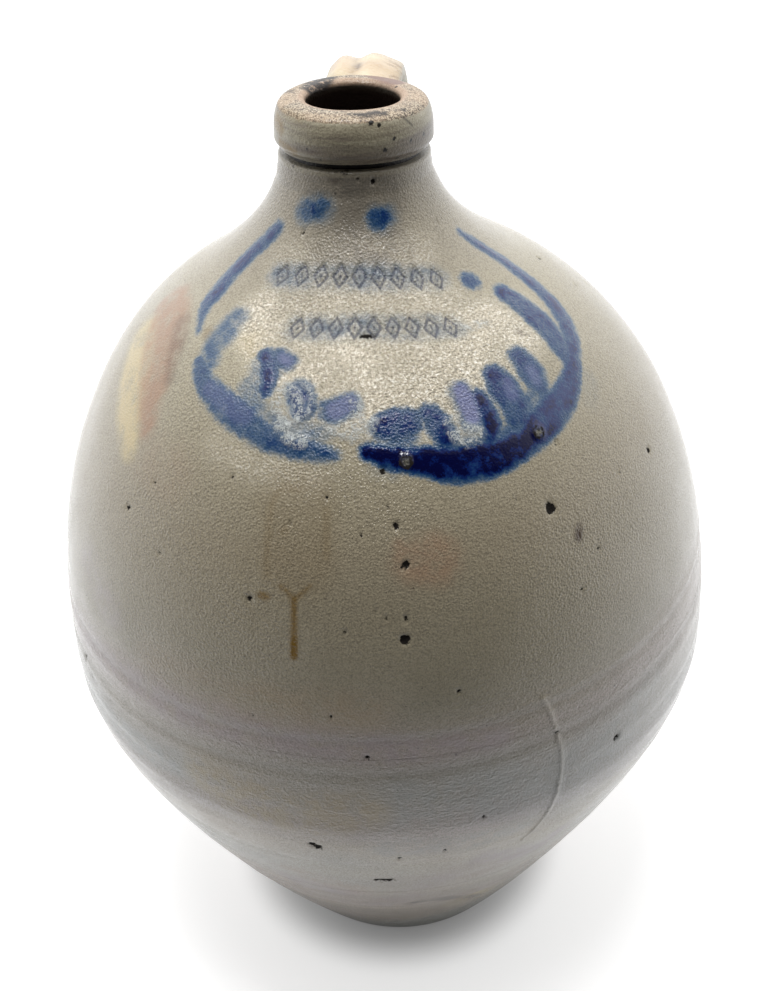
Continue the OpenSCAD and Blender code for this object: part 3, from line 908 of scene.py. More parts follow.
# %% [markdown]
# ## A hand-thrown jug leans
#
# The real jug isn't true: its neck stands a few millimetres to one side and its rim dips to
# the right. The photograph's outline shows by how much at each height. Every piece leans by
# the same rule, so they still meet, and the heights on the stand stay as they were.

# %% Lean all the pieces
lean_shares = np.array((0.0, 0.2, 0.45, 0.7, 0.87, 1.0))
lean_sizes = np.array((0.95, -0.35, 0.0, -0.6, -3.6, -2.45)) * MM
rim_dip, dip_r, dip_fade, dip_h, hinge = 0.058, 55 * MM, 25 * MM, 12 * MM, 4 * MM
across_view = np.array((math.cos(camera_turn), math.sin(camera_turn)))


def lean_at(height):
    """How far the jug leans aside at a height, softly between the measured heights."""
    share = height / rim_h
    k = np.clip(np.searchsorted(lean_shares, share) - 1, 0, len(lean_shares) - 2)
    t = (share - lean_shares[k]) / (lean_shares[k + 1] - lean_shares[k])
    half_soft = 0.5 * np.clip(t, 0, 1) + 0.5 * soft(t, 0, 1)
    return lean_sizes[k] + (lean_sizes[k + 1] - lean_sizes[k]) * half_soft


def lean(mesh):
    """Keeps each point's turned height as a mark, and then leans the mesh."""
    places = positions(mesh)
    height = places[:, 2].copy()
    store(mesh, height=height)
    sideways = places[:, :2] @ across_view
    near_axis = np.clip((dip_r - np.hypot(places[:, 0], places[:, 1])) / dip_fade, 0, 1)
    high = np.clip((height - (neck_h - dip_h)) / dip_h, 0, 1)
    low_side = (sideways + np.sqrt(sideways**2 + hinge**2)) / 2
    places[:, 2] = np.minimum(height - rim_dip * low_side * near_axis * high, cad_box[1][2])
    places[:, :2] += lean_at(height)[:, None] * across_view
    set_positions(mesh, places)


def before_leaning(mesh):
    """Each point's place now, its turned height, and its place round the axis before the lean."""
    places, height = positions(mesh), rows(mesh.attributes["height"].data, "value", 1)[:, 0]
    return places, height, places[:, :2] - lean_at(height)[:, None] * across_view


for piece in (lower_body, upper_body, lip_collar, slip_lining, strap, wad):
    lean(piece.data)
print("lean at the neck", round(float(lean_at(0.87 * rim_h)) / MM, 1), "mm")

# %% [markdown]
# ## Where the marks lie
#
# The painting is placed by rays. Each named point is a pixel of the photograph, and the ray
# through it meets the clay where the brush did. The marks then live on the clay and not in
# the picture, so they hold from every side.

# %% Aim rays at the clay
graph = bpy.context.evaluated_depsgraph_get()
surfaces = [BVHTree.FromObject(piece, graph) for piece in (lower_body, upper_body, lip_collar)]


def on_clay(px, py):
    """The place on the jug that shows at a pixel of the photograph."""
    aside = (float(px) - PHOTO_W / 2) / FOCAL_PX
    down = (float(py) - PHOTO_H / 2) / FOCAL_PX
    toward = forward_axis + aside * right_axis - down * up_axis
    hits = [surface.ray_cast(camera_place, toward.normalized()) for surface in surfaces]
    hits = [hit for hit in hits if hit[0] is not None]
    return np.array(min(hits, key=lambda hit: hit[3])[0]) if hits else None


def inside_stroke(places, line, halves):
    """How far each place lies inside a stroke, whose half width changes along its line."""
    if len(line) == 1:
        return halves[0] - np.linalg.norm(places - line[0], axis=1)
    depth = np.full(len(places), -1.0)
    for a, b, wide_a, wide_b in zip(line[:-1], line[1:], halves[:-1], halves[1:]):
        run = b - a
        t = np.clip((places - a) @ run / (run @ run), 0, 1)
        away = np.linalg.norm(places - a - t[:, None] * run, axis=1)
        depth = np.maximum(depth, wide_a + (wide_b - wide_a) * t - away)
    return depth


def smooth_line(pixels, halves, per_span=4):
    """Rounds a given line of pixels and half widths with a Catmull-Rom curve."""
    data = np.column_stack((pixels, np.full(len(pixels), halves, float)))
    if len(data) < 3:
        return data
    data = np.concatenate(([2 * data[0] - data[1]], data, [2 * data[-1] - data[-2]]))
    line = []
    for a, b, c, d in zip(data, data[1:], data[2:], data[3:]):
        for t in np.arange(per_span) / per_span:
            bend = (c - a) * t + (2 * a - 5 * b + 4 * c - d) * t**2 + (3 * b - a - 3 * c + d) * t**3
            line.append(0.5 * (2 * b + bend))
    line = np.array([*line, data[-2]])
    line[:, 2] = np.maximum(line[:, 2], 0.1)
    return line


def stroke_depth(places, pixels, halves):
    """How many millimetres each place lies inside a stroke; pixels that miss the jug are left out."""
    line = smooth_line(pixels, halves)
    found = [on_clay(px, py) for px, py in line[:, :2]]
    on_jug = np.array([place for place in found if place is not None])
    return inside_stroke(places, on_jug, line[:, 2] * MM) / MM


print("the middle of the swag lies at", [round(v / MM) for v in on_clay(384, 340)])

# %% [markdown]
# ## The cobalt swag
#
# A swag of loose brush strokes on the shoulder was a common ornament on such jugs. Each
# stroke has its line, its half widths in millimetres, or one for the whole line, and how
# much pigment it carries. Some dabs are lilac, where the cobalt is thin over thick glaze.

# %% List the brush strokes
strokes = {
    "left_stroke": (
        [(278, 228), (260, 245), (243, 262), (228, 278), (216, 293), (207, 304), (201, 319), (198, 332)],
        (1.9, 2.4, 2.7, 3, 3.1, 2, 0.8, 0.3), 0.64),
    "left_swag": (
        [(200, 362), (203, 378), (214, 395), (229, 409), (245, 421), (261, 433), (278, 443), (298, 448),
         (318, 452), (334, 455)],
        (1.9, 3, 4, 4.6, 4.6, 4, 3.3, 2.8, 2.4, 1.4), 0.46),
    "left_foot": ([(262, 434), (275, 443), (294, 447), (318, 452), (330, 454)],
                  (1.8, 2.6, 2.4, 1.9, 1), 0.6),
    "dab_a": ([(267, 356), (270, 368), (268, 381), (265, 391)], (2.2, 2.7, 2.2, 1.5), 0.84),
    "dab_a_pale": ([(280, 356), (288, 362)], (2.4, 2.6), 0.42),
    "dab_b": ([(300, 393), (304, 408)], (3.8, 3.6), 0.6),
    "dab_c": ([(331, 412), (350, 404)], (3.8, 3.4), 0.42),
    "right_swag": (
        [(368, 452), (388, 457), (407, 460), (430, 462), (453, 465), (477, 462), (500, 455), (518, 446),
         (531, 438)],
        (1.8, 2.9, 2.9, 3.8, 4.6, 4.9, 4.6, 4, 3.4), 1),
    "right_bend": ([(531, 437), (545, 420), (557, 406), (567, 391), (572, 375), (573, 358)],
                   (4.2, 5.2, 4.8, 3.9, 2.9, 2.6), 0.74),
    "right_rise": (
        [(573, 358), (571, 341), (565, 322), (553, 304), (538, 288), (521, 274), (505, 262), (490, 252),
         (473, 241), (460, 232)],
        (2.6, 3, 3.2, 2.9, 2.6, 2.3, 2.1, 1.8, 1.5, 0.8), 0.64),
    "inner_rise": ([(505, 294), (519, 303), (534, 315), (547, 328), (558, 344), (567, 356)],
                   (3.2, 3.9, 4.2, 4.3, 3.6, 2.4), 0.67),
    "dab_e": ([(384, 427), (398, 424), (412, 422)], (3.5, 4.3, 3.2), 0.68),
    "dab_f": ([(430, 415), (438, 425), (446, 436)], (2.8, 3.5, 3), 0.66),
    "dab_g": ([(460, 392), (467, 406), (473, 422)], (3.3, 3.5, 3.2), 0.42),
    "dab_g_edge": ([(478, 396), (484, 408), (491, 422), (491, 436)], (1.8, 2.6, 2.7, 2.3), 0.84),
    "dab_h": ([(496, 377), (505, 390), (514, 403), (517, 416)], (3.6, 4.8, 4.4, 3.6), 0.64),
    "dab_i": ([(520, 358), (531, 371), (538, 384)], (3.6, 4.4, 3.6), 0.54),
    "neck_dot_left": ([(316, 210), (323, 206)], (2.4, 2.2), 0.54),
    "neck_dot_right": ([(378, 219), (382, 217)], (3.1, 2.3), 0.66),
    "small_dot": ([(470, 281), (472, 281)], (2.8, 2.4), 0.58),
}
washes = {
    "left_leaf": ([(238, 318), (226, 331), (213, 348), (211, 362)], (4, 4.8, 4.2, 3), 0.36),
    "dab_a_haze": ([(258, 368), (256, 392)], (3, 3.2), 0.34),
    "left_wash": ([(247, 388), (258, 414), (284, 431), (322, 432)], (3.8, 4.6, 4.4, 3.6), 0.27),
    "dab_e_haze": ([(386, 440), (410, 438)], (3.4, 3), 0.36),
    "right_wash": ([(545, 392), (534, 405), (524, 424), (505, 436), (470, 444)],
                   (3.2, 4.8, 4, 3.2, 2.4), 0.42),
    "edge_haze": ([(589, 380), (592, 402)], (4.5, 4), 0.1),
    "below_haze": ([(376, 470), (392, 472)], (3, 2.6), 0.16),
    "lozenge_wash": ([(280, 276), (310, 277), (341, 277), (372, 278), (404, 278), (436, 279)], 5, 0.21),
    "lozenge_wash_low": ([(297, 328), (328, 328), (359, 328), (390, 328), (421, 328), (452, 327)], 5, 0.21),
    "neck_haze_left": ([(306, 212), (322, 208)], 4.4, 0.32),
    "neck_haze_right": ([(380, 218), (386, 216)], (4.6, 3.8), 0.3),
}
lilac_dabs = {
    "lilac_c": ([(336, 410), (350, 403)], (2.8, 2.6), 0.6),
    "lilac_g": ([(462, 391), (467, 403), (472, 416)], (2.6, 2.8, 2.4), 0.85),
    "lilac_a": ([(284, 358), (289, 362)], 1.8, 0.5),
    "lilac_i": ([(531, 370), (536, 380)], 1.8, 0.4),
    "lilac_h": ([(508, 384), (512, 394)], (1.8, 2.2), 0.4),
    "lilac_bend": ([(540, 422), (556, 406), (566, 388)], (2.6, 3, 2.2), 0.06),
    "lilac_left": ([(210, 388), (226, 402), (244, 416)], (2.4, 3.2, 3), 0.28),
}
crackles = {
    "ring": (
        [(286, 386), (277, 398), (277, 414), (286, 424), (297, 420), (299, 404), (293, 390), (286, 386)],
        1.5, 1),
    "ring_eye": ([(287, 398), (289, 412)], 1.8, 0.4),
    "ring_arc": ([(300, 380), (310, 390), (312, 404), (306, 416)], (0.9, 1, 1, 0.8), 0.8),
    "ring_tail": ([(280, 424), (290, 436), (302, 442)], (2, 2.6, 2), 1),
    "beside_c": ([(354, 398), (358, 414), (350, 428), (336, 430)], (1.8, 2.4, 3, 2.4), 0.9),
    "under_g": ([(452, 424), (462, 434), (476, 434)], (2.6, 3.6, 2.8), 1),
    "gap": ([(356, 436), (366, 432), (374, 420)], (2.6, 2.4, 1.6), 0.8),
    "lozenge_end": ([(462, 330), (478, 324), (488, 322)], (1, 1.4, 1.2), 0.7),
}
print(len(strokes), "strokes,", len(washes), "washes,", len(lilac_dabs), "lilac dabs")
print(len(crackles), "places where the cobalt blistered")

# %% List the stains and the flaws
stains = {
    "rosy": [
        ([(76, 618), (110, 664), (170, 704), (250, 731), (340, 746), (430, 750), (500, 738)],
         (4, 5, 5.5, 5, 4.5, 4, 2.5), 0.6, 6),
        ([(296, 880), (345, 893)], (6, 5), 0.7, 6),
        ([(486, 858), (530, 850), (560, 830)], (5, 5, 3), 0.7, 5),
        ([(380, 905), (440, 880)], 5, 0.35, 6),
        ([(88, 560), (110, 610)], 5, 0.4, 6),
    ],
    "steel": [
        ([(72, 650), (104, 712), (150, 752), (210, 775)], (4.5, 5, 4.5, 2.5), 0.75, 4),
        ([(400, 806), (470, 800), (540, 782), (610, 740), (650, 690)], (9, 10, 9, 7, 4), 0.5, 9),
        ([(390, 850), (470, 842), (520, 826)], (5, 5, 4), 0.5, 5),
    ],
    "beige": [
        ([(205, 776), (250, 800), (310, 815), (365, 812)], (7, 9, 9, 6), 0.9, 7),
        ([(250, 700), (360, 715)], 5, 0.3, 6),
    ],
    # Painted shade on the neck's front, under the lip.
    "neck_shade": [
        ([(352, 188), (360, 212), (366, 240)], (11, 12, 9), 0.75, 7),
        ([(330, 248), (400, 252)], 5, 0.35, 5),
    ],
    # A painted highlight, with painted glints, on the shoulder under the lamp.
    "painted_highlight": [
        ([(262, 318), (300, 345), (360, 372), (425, 372), (480, 345), (520, 318)],
         (8, 13, 17, 17, 13, 8), 1, 7),
        ([(318, 300), (372, 304), (440, 302)], (9, 9, 8), 0.7, 5),
        ([(360, 250), (420, 250)], 5, 0.45, 5),
        ([(222, 446), (262, 468), (310, 478)], (4, 4, 3), 0.4, 6),
        ([(288, 262), (280, 296), (270, 322)], (5, 6, 6), 0.45, 6),
    ],
    "toast": [
        ([(170, 304), (165, 330), (157, 368), (150, 400), (147, 430)], (7, 9, 7.5, 5, 2.6), 0.8, 3.6),
        ([(168, 470), (150, 462)], (8, 6), 0.14, 7),
        ([(300, 874), (352, 890)], 6, 0.24, 7),
        ([(414, 562), (434, 560)], (5, 6.5), 0.45, 5),
        ([(399, 547), (404, 560)], 2, 0.35, 2),
        ([(150, 660), (240, 700), (380, 712)], (5, 6, 4), 0.12, 6),
    ],
    "umber": [
        ([(182, 322), (176, 350), (170, 378)], (2.4, 2.8, 1.6), 0.42, 3),
        ([(410, 904), (424, 901), (444, 899), (478, 896)], (1.6, 2.6, 2.8, 1.6), 0.62, 2.4),
        ([(414, 903), (422, 901)], (1.3, 1.6), 0.9, 1.5),
        ([(579, 528), (579, 537)], 1.2, 0.9, 1.2),
        ([(517, 332), (520, 333)], 1, 0.5, 1),
        ([(559, 424)], 0.9, 0.6, 1),
        ([(332, 181), (338, 182)], 1, 0.3, 1.6),
    ],
    "cream": [
        ([(143, 335), (135, 370), (130, 407), (129, 446)], (6.5, 8, 7, 3.5), 0.8, 4),
        ([(470, 898)], 9, 0.35, 6),
        ([(250, 340), (256, 350)], (3, 2.6), 0.3, 4),
    ],
    "ochre": [
        ([(296, 505), (298, 565)], (10, 9), 0.16, 6),
        ([(300, 489), (282, 490), (272, 505), (268, 540), (267, 575)], (0.9, 1, 1, 0.8, 0.7), 0.32, 2.6),
        ([(326, 510), (326, 556)], 1, 0.3, 2.4),
        ([(280, 586), (288, 592), (294, 599), (302, 593), (310, 586)], (0.4, 0.6, 0.7, 0.5, 0.3), 0.6, 1.3),
        ([(294, 598), (294, 625), (294, 646)], (0.7, 0.7, 0.9), 0.8, 1.1),
        ([(294, 640), (294, 656)], (0.9, 1), 1, 0.8),
        ([(261, 595), (267, 597)], (0.8, 0.6), 0.8, 1.2),
        ([(284, 531)], 1.5, 0.3, 2),
        ([(208, 333), (211, 337)], 1.6, 0.4, 2),
    ],
}
pits = [
    (405, 640, 1.7), (406, 619, 0.9), (396, 526, 1.1), (406, 565, 1.2), (402, 569, 0.7), (551, 509, 1.7),
    (549, 506, 1.2), (312, 845, 1.4), (318, 848, 1.6), (377, 881, 1.3), (382, 881, 1.9), (388, 881, 2),
    (394, 881, 1.4), (249, 599, 1), (252, 603, 0.7), (649, 450, 1.1), (361, 336, 0.7), (364, 336, 0.9),
    (367.5, 336, 1), (371, 336, 0.9), (374, 335.5, 0.6), (386, 619, 0.5), (345, 633, 0.6), (375, 611, 0.5),
    (361, 535, 0.5), (387, 508, 0.5), (327, 498, 0.6), (517, 499, 0.5), (367, 758, 0.8), (557, 733, 0.8),
    (617, 737, 1.2), (615, 740, 0.7), (253, 716, 0.6), (331, 717, 0.6), (154, 482, 0.7), (128, 507, 1),
    (159, 552, 0.7), (232, 477, 0.7), (290, 523, 0.6), (556, 443, 0.8), (85, 657, 1.2), (92, 676, 1),
    (459, 692, 0.7), (399, 859, 0.9), (445, 851, 0.8), (484, 818, 0.7), (594, 234, 0.9), (539, 258, 0.7),
    (575, 284, 0.7), (303, 233, 0.7), (371, 243, 0.5), (437, 220, 0.5), (373.5, 181, 0.9), (358, 178, 0.5),
    (408, 862, 0.5), (599, 549, 0.6), (582, 590, 0.5), (560, 667, 0.5), (618, 471, 0.6), (624, 496, 0.6),
    (383, 471, 1),
]
stones = [(406, 462, 1.9), (538, 432.5, 1.9)]
print(sum(len(s) for s in stains.values()), "stains,", len(pits), "pits,", len(stones), "stones")

# %% [markdown]
# ## Pressed lozenges
#
# Two rows of plain lozenges are pressed into the shoulder with a simple tool and rubbed with
# a little cobalt. Their middles follow two level lines.

# %% Place the lozenges
LOZENGES_IN_ROW = 9
lozenge_rows = (((282, 275), (437, 279)), ((297, 328), (451, 327)))
lozenge_high, lozenge_wide, upright = 8.2 * MM, 5.4 * MM, 0.9
line_place, line_half, dot_half, slant = 0.8, 0.65, 0.75, 0.85 * lozenge_wide / 2 / MM
lozenges = [on_clay(*pixel) for ends in lozenge_rows for pixel in np.linspace(*ends, LOZENGES_IN_ROW)]
print(len(lozenges), "lozenges on the shoulder")


def lozenge_depths(places):
    """Distance inside the lines of the nearest lozenge, in millimetres."""
    depth = np.full(len(places), -3.0)
    for middle in lozenges:
        level = np.array((-middle[1], middle[0], 0.0))
        level /= np.linalg.norm(level)
        outwards = np.array((middle[0], middle[1], upright * np.hypot(middle[0], middle[1])))
        upward = np.cross(level, outwards)
        upward *= -math.copysign(1, upward[2]) / np.linalg.norm(upward)
        close = np.linalg.norm(places - middle, axis=1) < lozenge_high
        u = (places[close] - middle) @ level / (lozenge_wide / 2)
        v = (places[close] - middle) @ upward / (lozenge_high / 2)
        size = np.abs(u) + np.abs(v)
        line, dot = line_half - np.abs(size - line_place) * slant, dot_half - size * slant
        depth[close] = np.max((depth[close], line, dot), axis=0)
    return depth

# %% [markdown]
# ## Putting the marks on the mesh
#
# Each mark becomes one number at each point of the mesh. Distances are stored rather than
# finished masks, because a distance stays smooth between points, so the material can cut a
# crisp, grainy edge finer than the mesh.

# %% Store the marks and shape the skin
LILAC_EDGE, CRACKLE_EDGE = 2.5, 1.2
RING_LIP, RING_TILT = 0.45, 0.028
FINGER_DEEP, FINGER_PITCH, FINGER_DRIFT = 0.16 * MM, 9.5 * MM, 17 * MM
RUN_HIGH, PIT_DEEP, LOZENGE_DEEP = 0.34 * MM, 0.7 * MM, 0.5 * MM
STONE_HIGH, STONE_DENT, PAINT_HIGH, BLISTER_HIGH = 0.5 * MM, 0.3 * MM, 0.25 * MM, 0.3 * MM


def brush_marks(places, group):
    """The depth inside the nearest strokes, and the pigment that they leave, blended."""
    deepest, weights, amount, most = (np.full(len(places), v) for v in (-9.0, 0.0, 0.0, 0.0))
    for pixels, halves, strength in group.values():
        depth = stroke_depth(places, pixels, halves)
        weight = np.exp(np.clip(depth, -8, 6) * 0.9)
        weights += weight
        amount += weight * strength
        deepest = np.maximum(deepest, depth)
        most = np.maximum(most, strength * soft(depth, -1.0, 1.5))
    return deepest, np.maximum(amount / weights, most)


def cover(places, patches, fade_out=0.5):
    """How strongly soft-edged patches cover each place, where the strongest one counts."""
    total = np.zeros(len(places))
    for pixels, halves, strength, edge in patches:
        share = soft(stroke_depth(places, pixels, halves), -edge * fade_out, edge * 0.5)
        total = np.maximum(total, strength * share)
    return total


def spot_depth(places, spots):
    """The depth inside the nearest of some round spots."""
    depth = np.full(len(places), -3.0)
    for px, py, radius in spots:
        middle = on_clay(px, py)
        if middle is not None:
            depth = np.maximum(depth, radius - np.linalg.norm(places - middle, axis=1) / MM)
    return depth


def dress_body(piece):
    """Adds finger rings, flaws and painting to one thrown section."""
    mesh = piece.data
    places, height, on_axis = before_leaning(mesh)
    normals = rows(mesh.vertices, "normal", 3)
    depth, pigment = brush_marks(places, strokes)
    wash_depth, wash = brush_marks(places, washes)
    blistered = cover(places, [(*patch, CRACKLE_EDGE) for patch in crackles.values()])
    pit, stone, lozenge = spot_depth(places, pits), spot_depth(places, stones), lozenge_depths(places)
    ridge = stroke_depth(places, glaze_run, 0.5)
    store(
        mesh, brush_depth=depth, pigment=pigment, wash_depth=wash_depth, wash=wash, crackle=blistered,
        lilac=cover(places, [(*dab, LILAC_EDGE) for dab in lilac_dabs.values()]),
        lozenge_depth=lozenge, pit_depth=np.maximum(pit, 0.5 - np.abs(stone - 0.2)),
        stone=soft(stone, 0.5, 1.0), run_depth=np.clip(ridge, -5, 5),
        **{name: cover(places, group, 1.0) for name, group in stains.items()},
    )
    tilted = height - RING_TILT * (places[:, :2] @ across_view)
    skin = np.zeros(len(places))
    for ring_h, deep, half in tool_rings:
        skin -= deep * np.exp(-((tilted - ring_h) / half) ** 2)
        skin += RING_LIP * deep * np.exp(-((tilted - ring_h - 1.9 * half) / half) ** 2)
    turn_angle = np.arctan2(on_axis[:, 1], on_axis[:, 0])
    fingers = soft(height, 35 * MM, 75 * MM) * soft(height, 205 * MM, 165 * MM)
    spiral = np.sin(2 * math.pi * tilted / FINGER_PITCH + turn_angle + 1.5 * np.sin(tilted / FINGER_DRIFT))
    skin += FINGER_DEEP * fingers * (spiral * (0.6 + 0.4 * np.sin(2 * turn_angle + 1)) - 1)
    skin += RUN_HIGH * soft(ridge, -0.9, 0.4) - PIT_DEEP * soft(pit, -0.3, 0.5)
    skin += STONE_HIGH * soft(stone, -0.5, 0.3) - STONE_DENT * soft(stone, 0.3, 1.1)
    skin -= LOZENGE_DEEP * soft(lozenge, -0.25, 0.35)
    skin += PAINT_HIGH * soft(depth, -0.5, 1.5) * pigment + BLISTER_HIGH * blistered
    wall_r = radius_at(height)
    out_share = soft(np.hypot(*on_axis.T), wall_r - 0.9 * MM, wall_r - 0.5 * MM)
    moved = places + normals * (skin * out_share)[:, None]
    moved[:, 2] = np.maximum(moved[:, 2], 0)
    set_positions(mesh, moved)
    print(f"{piece.name}: skin from {skin.min() / MM:.2f} to {skin.max() / MM:.2f} mm,", end=" ")
    print((depth > 0).sum(), "painted points")


tool_rings = [
    (seam_h + 6.4 * MM, 0.26 * MM, 1.6 * MM), (seam_h - 6.4 * MM, 0.28 * MM, 1.6 * MM),
    (122 * MM, 0.2 * MM, 1.6 * MM), (88 * MM, 0.16 * MM, 1.8 * MM), (62 * MM, 0.34 * MM, 1.6 * MM),
    (neck_h - 7 * MM, 0.2 * MM, 1.2 * MM),
]
glaze_run = [(543, 698), (551, 714), (557, 733), (562, 754), (560, 780), (553, 803), (540, 823), (523, 840)]
for piece in (lower_body, upper_body):
    dress_body(piece)

# %% [markdown]
# ## The collar's wear
#
# The collar carries its own marks: a wiped, sandy top, a dark scorched patch at the back
# left, painted shade in the groove, a few iron pits and an ochre stain on its left side.

# %% Mark the collar
lip_pits = [
    (371, 123, 0.9), (379, 125, 0.8), (394, 139, 0.8), (385, 150, 0.8), (424, 134, 0.8), (411, 140, 0.6),
    (397, 158, 0.6), (348, 123, 0.4), (307, 149, 0.4), (321, 160, 0.4), (396, 87, 0.7),
]
lip_stains = {
    "ochre": [
        ([(276, 119), (280, 128)], (2.4, 2.6), 0.75, 2.4),
        ([(280, 142), (286, 149), (294, 153)], (1.6, 1.8, 1.6), 0.75, 2),
        ([(281, 112), (300, 118)], 1.6, 0.25, 3),
    ],
    "umber": [
        ([(311, 88), (318, 82), (326, 77), (334, 76)], (3.2, 4.2, 4, 2.8), 1, 2.4),
        ([(289, 91)], 1.8, 0.7, 2),
        ([(350, 114), (366, 115), (374, 113), (383, 113)], (0.8, 1.4, 1.8, 1.4), 0.95, 1.6),
        ([(398, 115), (404, 118), (412, 125)], (0.3, 0.35, 0.3), 0.8, 0.6),
        ([(404, 110)], 1, 0.8, 1.2),
    ],
    "toast": [([(338, 74), (352, 73), (372, 76), (396, 82)], (2.4, 3, 3, 2.2), 0.95, 2.4)],
}
lip_places, lip_height, lip_on_axis = before_leaning(lip_collar.data)
lip_radius = np.hypot(*lip_on_axis.T)
in_groove = soft(lip_radius, lip_low_r - 0.9 * MM, lip_low_r - 1.6 * MM)
in_throat = soft(lip_radius, throat_r + 1.5 * MM, throat_r + 0.2 * MM)
store(
    lip_collar.data,
    rim_top=soft(lip_height, rim_h - 2.6 * MM, rim_h - 0.9 * MM),
    # Painted shade in the groove.
    grime=in_groove * (lip_height < neck_h + 3 * MM),
    throat=in_throat * soft(lip_height, rim_h - 0.4 * MM, rim_h - 2.4 * MM),
    bevel=soft(lip_radius, throat_r + 3.2 * MM, throat_r + 1.4 * MM),
    pit_depth=spot_depth(lip_places, lip_pits),
    **{name: cover(lip_places, group) for name, group in lip_stains.items()},
)
print("collar marked with", len(lip_pits), "pits")

# %% Mark the strap and the wad
scar = np.array((-3.4 * MM, crest_p[0] - 4 * MM, rim_h))
from_scar = np.linalg.norm((positions(strap.data) - scar) * (1.6, 0.4, 0.6), axis=1) / MM
store(strap.data, umber=0.8 * soft(-from_scar, -2.4, -1.0))
unmarked = dict.fromkeys(("brush_depth", "wash_depth", "lozenge_depth", "pit_depth", "run_depth"), -3.0)
store(wad.data, toast=0.3, **unmarked)
print("strap and wad marked")

# %% [markdown]
# ## Stage and light
#
# The jug stood on a white sweep under a wide, soft light from straight above, with a dark
# room in front of it. So the shoulder is bright, the belly grows dark towards the front, and
# the sides mirror the white sweep. The floor glows a little for the camera and for the glaze,
# and less by the foot, which paints a soft shadow round the foot and painted shade low on the
# glaze.

# %% Lay the floor and hang the lamps
FLOOR_HALF, GREY_CARD, WHITE_CARD = 4.0, (0.1, 0.1, 0.1, 1), (0.72, 0.72, 0.72, 1)
SWEEP_FRONT, SWEEP_BACK = -500 * MM, -200 * MM
LENS_GLOW = 56 * MM, 78 * MM, 0.15, 0.58
GLAZE_GLOW = 55 * MM, 120 * MM, 0.05, 0.56
ROOM_FADE = -0.55, 0.15, 0.02, 1.25
LAMP_PLACE, LAMP_AIM = (-0.06, -0.14, 1.5), (0, 0, 0.25)
LAMP_WIDE, LAMP_DEEP, LAMP_POWER = 0.55, 0.4, 12.5
WHITE = (1, 1, 1, 1)
backwards = (-math.sin(camera_turn), math.cos(camera_turn), 0.0)


def how_far_back(tree, vector):
    """How far a place or a direction points away from the camera."""
    product = wire(tree, "ShaderNodeVectorMath", {0: vector, 1: backwards}, operation="DOT_PRODUCT")
    return product.outputs["Value"]


corners = [(x * FLOOR_HALF, y * FLOOR_HALF, 0) for x, y in ((-1, -1), (1, -1), (1, 1), (-1, 1))]
floor_mesh = bpy.data.meshes.new("floor")
floor_mesh.from_pydata(corners, [], [(0, 1, 2, 3)])
floor_paint = bpy.data.materials.new("floor_white")
tree = bare_tree(floor_paint)
rays = wire(tree, "ShaderNodeLightPath").outputs
spot = wire(tree, "ShaderNodeTexCoord").outputs["Object"]
sweep = fitted(tree, how_far_back(tree, spot), SWEEP_FRONT, SWEEP_BACK)
sweep = reckon(tree, "MAXIMUM", sweep, rays["Is Camera Ray"])
card = wire(tree, "ShaderNodeMix", {0: sweep, 6: GREY_CARD, 7: WHITE_CARD}, data_type="RGBA").outputs[2]
matt = wire(tree, "ShaderNodeBsdfDiffuse", {"Color": card})
from_axis = wire(tree, "ShaderNodeVectorMath", {0: spot}, operation="LENGTH").outputs["Value"]
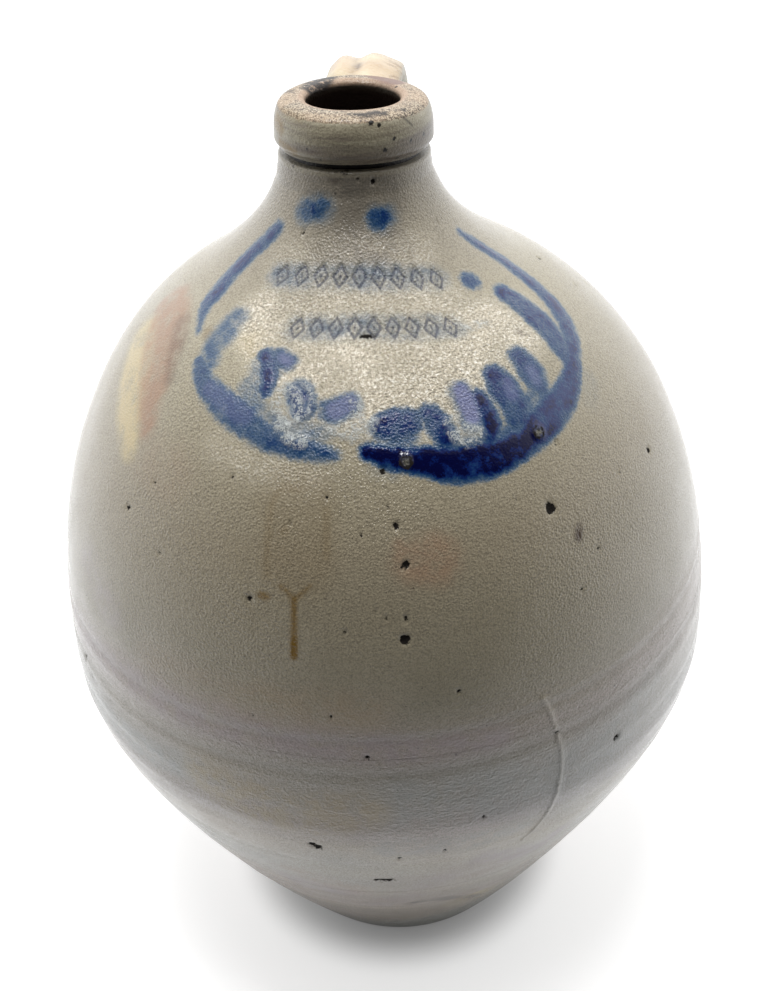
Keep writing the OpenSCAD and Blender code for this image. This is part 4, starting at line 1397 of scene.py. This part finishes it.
# The glow falls away by the foot: a painted shadow round it for the camera, and a darker floor in the
# glaze's reflections.
for_lens = reckon(tree, "MULTIPLY", rays["Is Camera Ray"], fitted(tree, from_axis, *LENS_GLOW))
for_glaze = reckon(tree, "MULTIPLY", rays["Is Glossy Ray"], fitted(tree, from_axis, *GLAZE_GLOW))
seen = reckon(tree, "ADD", for_lens, reckon(tree, "MULTIPLY", for_glaze, sweep))
glow = wire(tree, "ShaderNodeEmission", {"Color": WHITE, "Strength": seen})
both = wire(tree, "ShaderNodeAddShader", {0: matt.outputs[0], 1: glow.outputs[0]})
wire(tree, "ShaderNodeOutputMaterial", {"Surface": both.outputs[0]})
floor_mesh.materials.append(floor_paint)
floor = new_object("floor", floor_mesh)

world = bpy.data.worlds.new("studio")
bpy.context.scene.world = world
tree = bare_tree(world)
rays = wire(tree, "ShaderNodeLightPath").outputs
seen = reckon(tree, "MAXIMUM", rays["Is Camera Ray"], rays["Is Transmission Ray"])
looking = wire(tree, "ShaderNodeTexCoord").outputs["Generated"]
wall_light = fitted(tree, how_far_back(tree, looking), *ROOM_FADE)
room = wire(tree, "ShaderNodeBackground", {"Color": WHITE, "Strength": wall_light})
white = wire(tree, "ShaderNodeBackground", {"Color": WHITE, "Strength": 1.0})
either = wire(tree, "ShaderNodeMixShader", {0: seen, 1: room.outputs[0], 2: white.outputs[0]})
wire(tree, "ShaderNodeOutputWorld", {"Surface": either.outputs[0]})

lamp = bpy.data.lights.new("overhead", "AREA")
lamp.shape = "RECTANGLE"
lamp.size, lamp.size_y, lamp.energy = LAMP_WIDE, LAMP_DEEP, LAMP_POWER
holder = new_object("overhead", lamp)
holder.location = LAMP_PLACE
holder.rotation_euler = (Vector(LAMP_AIM) - Vector(LAMP_PLACE)).to_track_quat("-Z", "Y").to_euler()
bpy.context.scene.view_settings.view_transform = "Standard"
print("stage set under one soft lamp")

# %% [markdown]
# ## Handing the pieces over
#
# Each piece rides a body, and the imported node that it stands for is hidden. Nothing
# moved, so the visual model keeps to the frame's box, and the frame's box is printed.

# %% Ride and replace
for piece, node, slot in (
    (lower_body, "lower_body", "salt_glazed_clay"),
    (upper_body, "upper_body", "salt_glazed_clay"),
    (lip_collar, "lip_collar", "lip_clay"),
    (strap, "strap_handle", "handle_clay"),
    (wad, "handle_wad", "handle_clay"),
    (slip_lining, "slip_lining", "brown_slip"),
):
    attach(piece, "root")
    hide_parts(node)
print("packed box", [[round(v / MM, 1) for v in c] for c in cad_box])
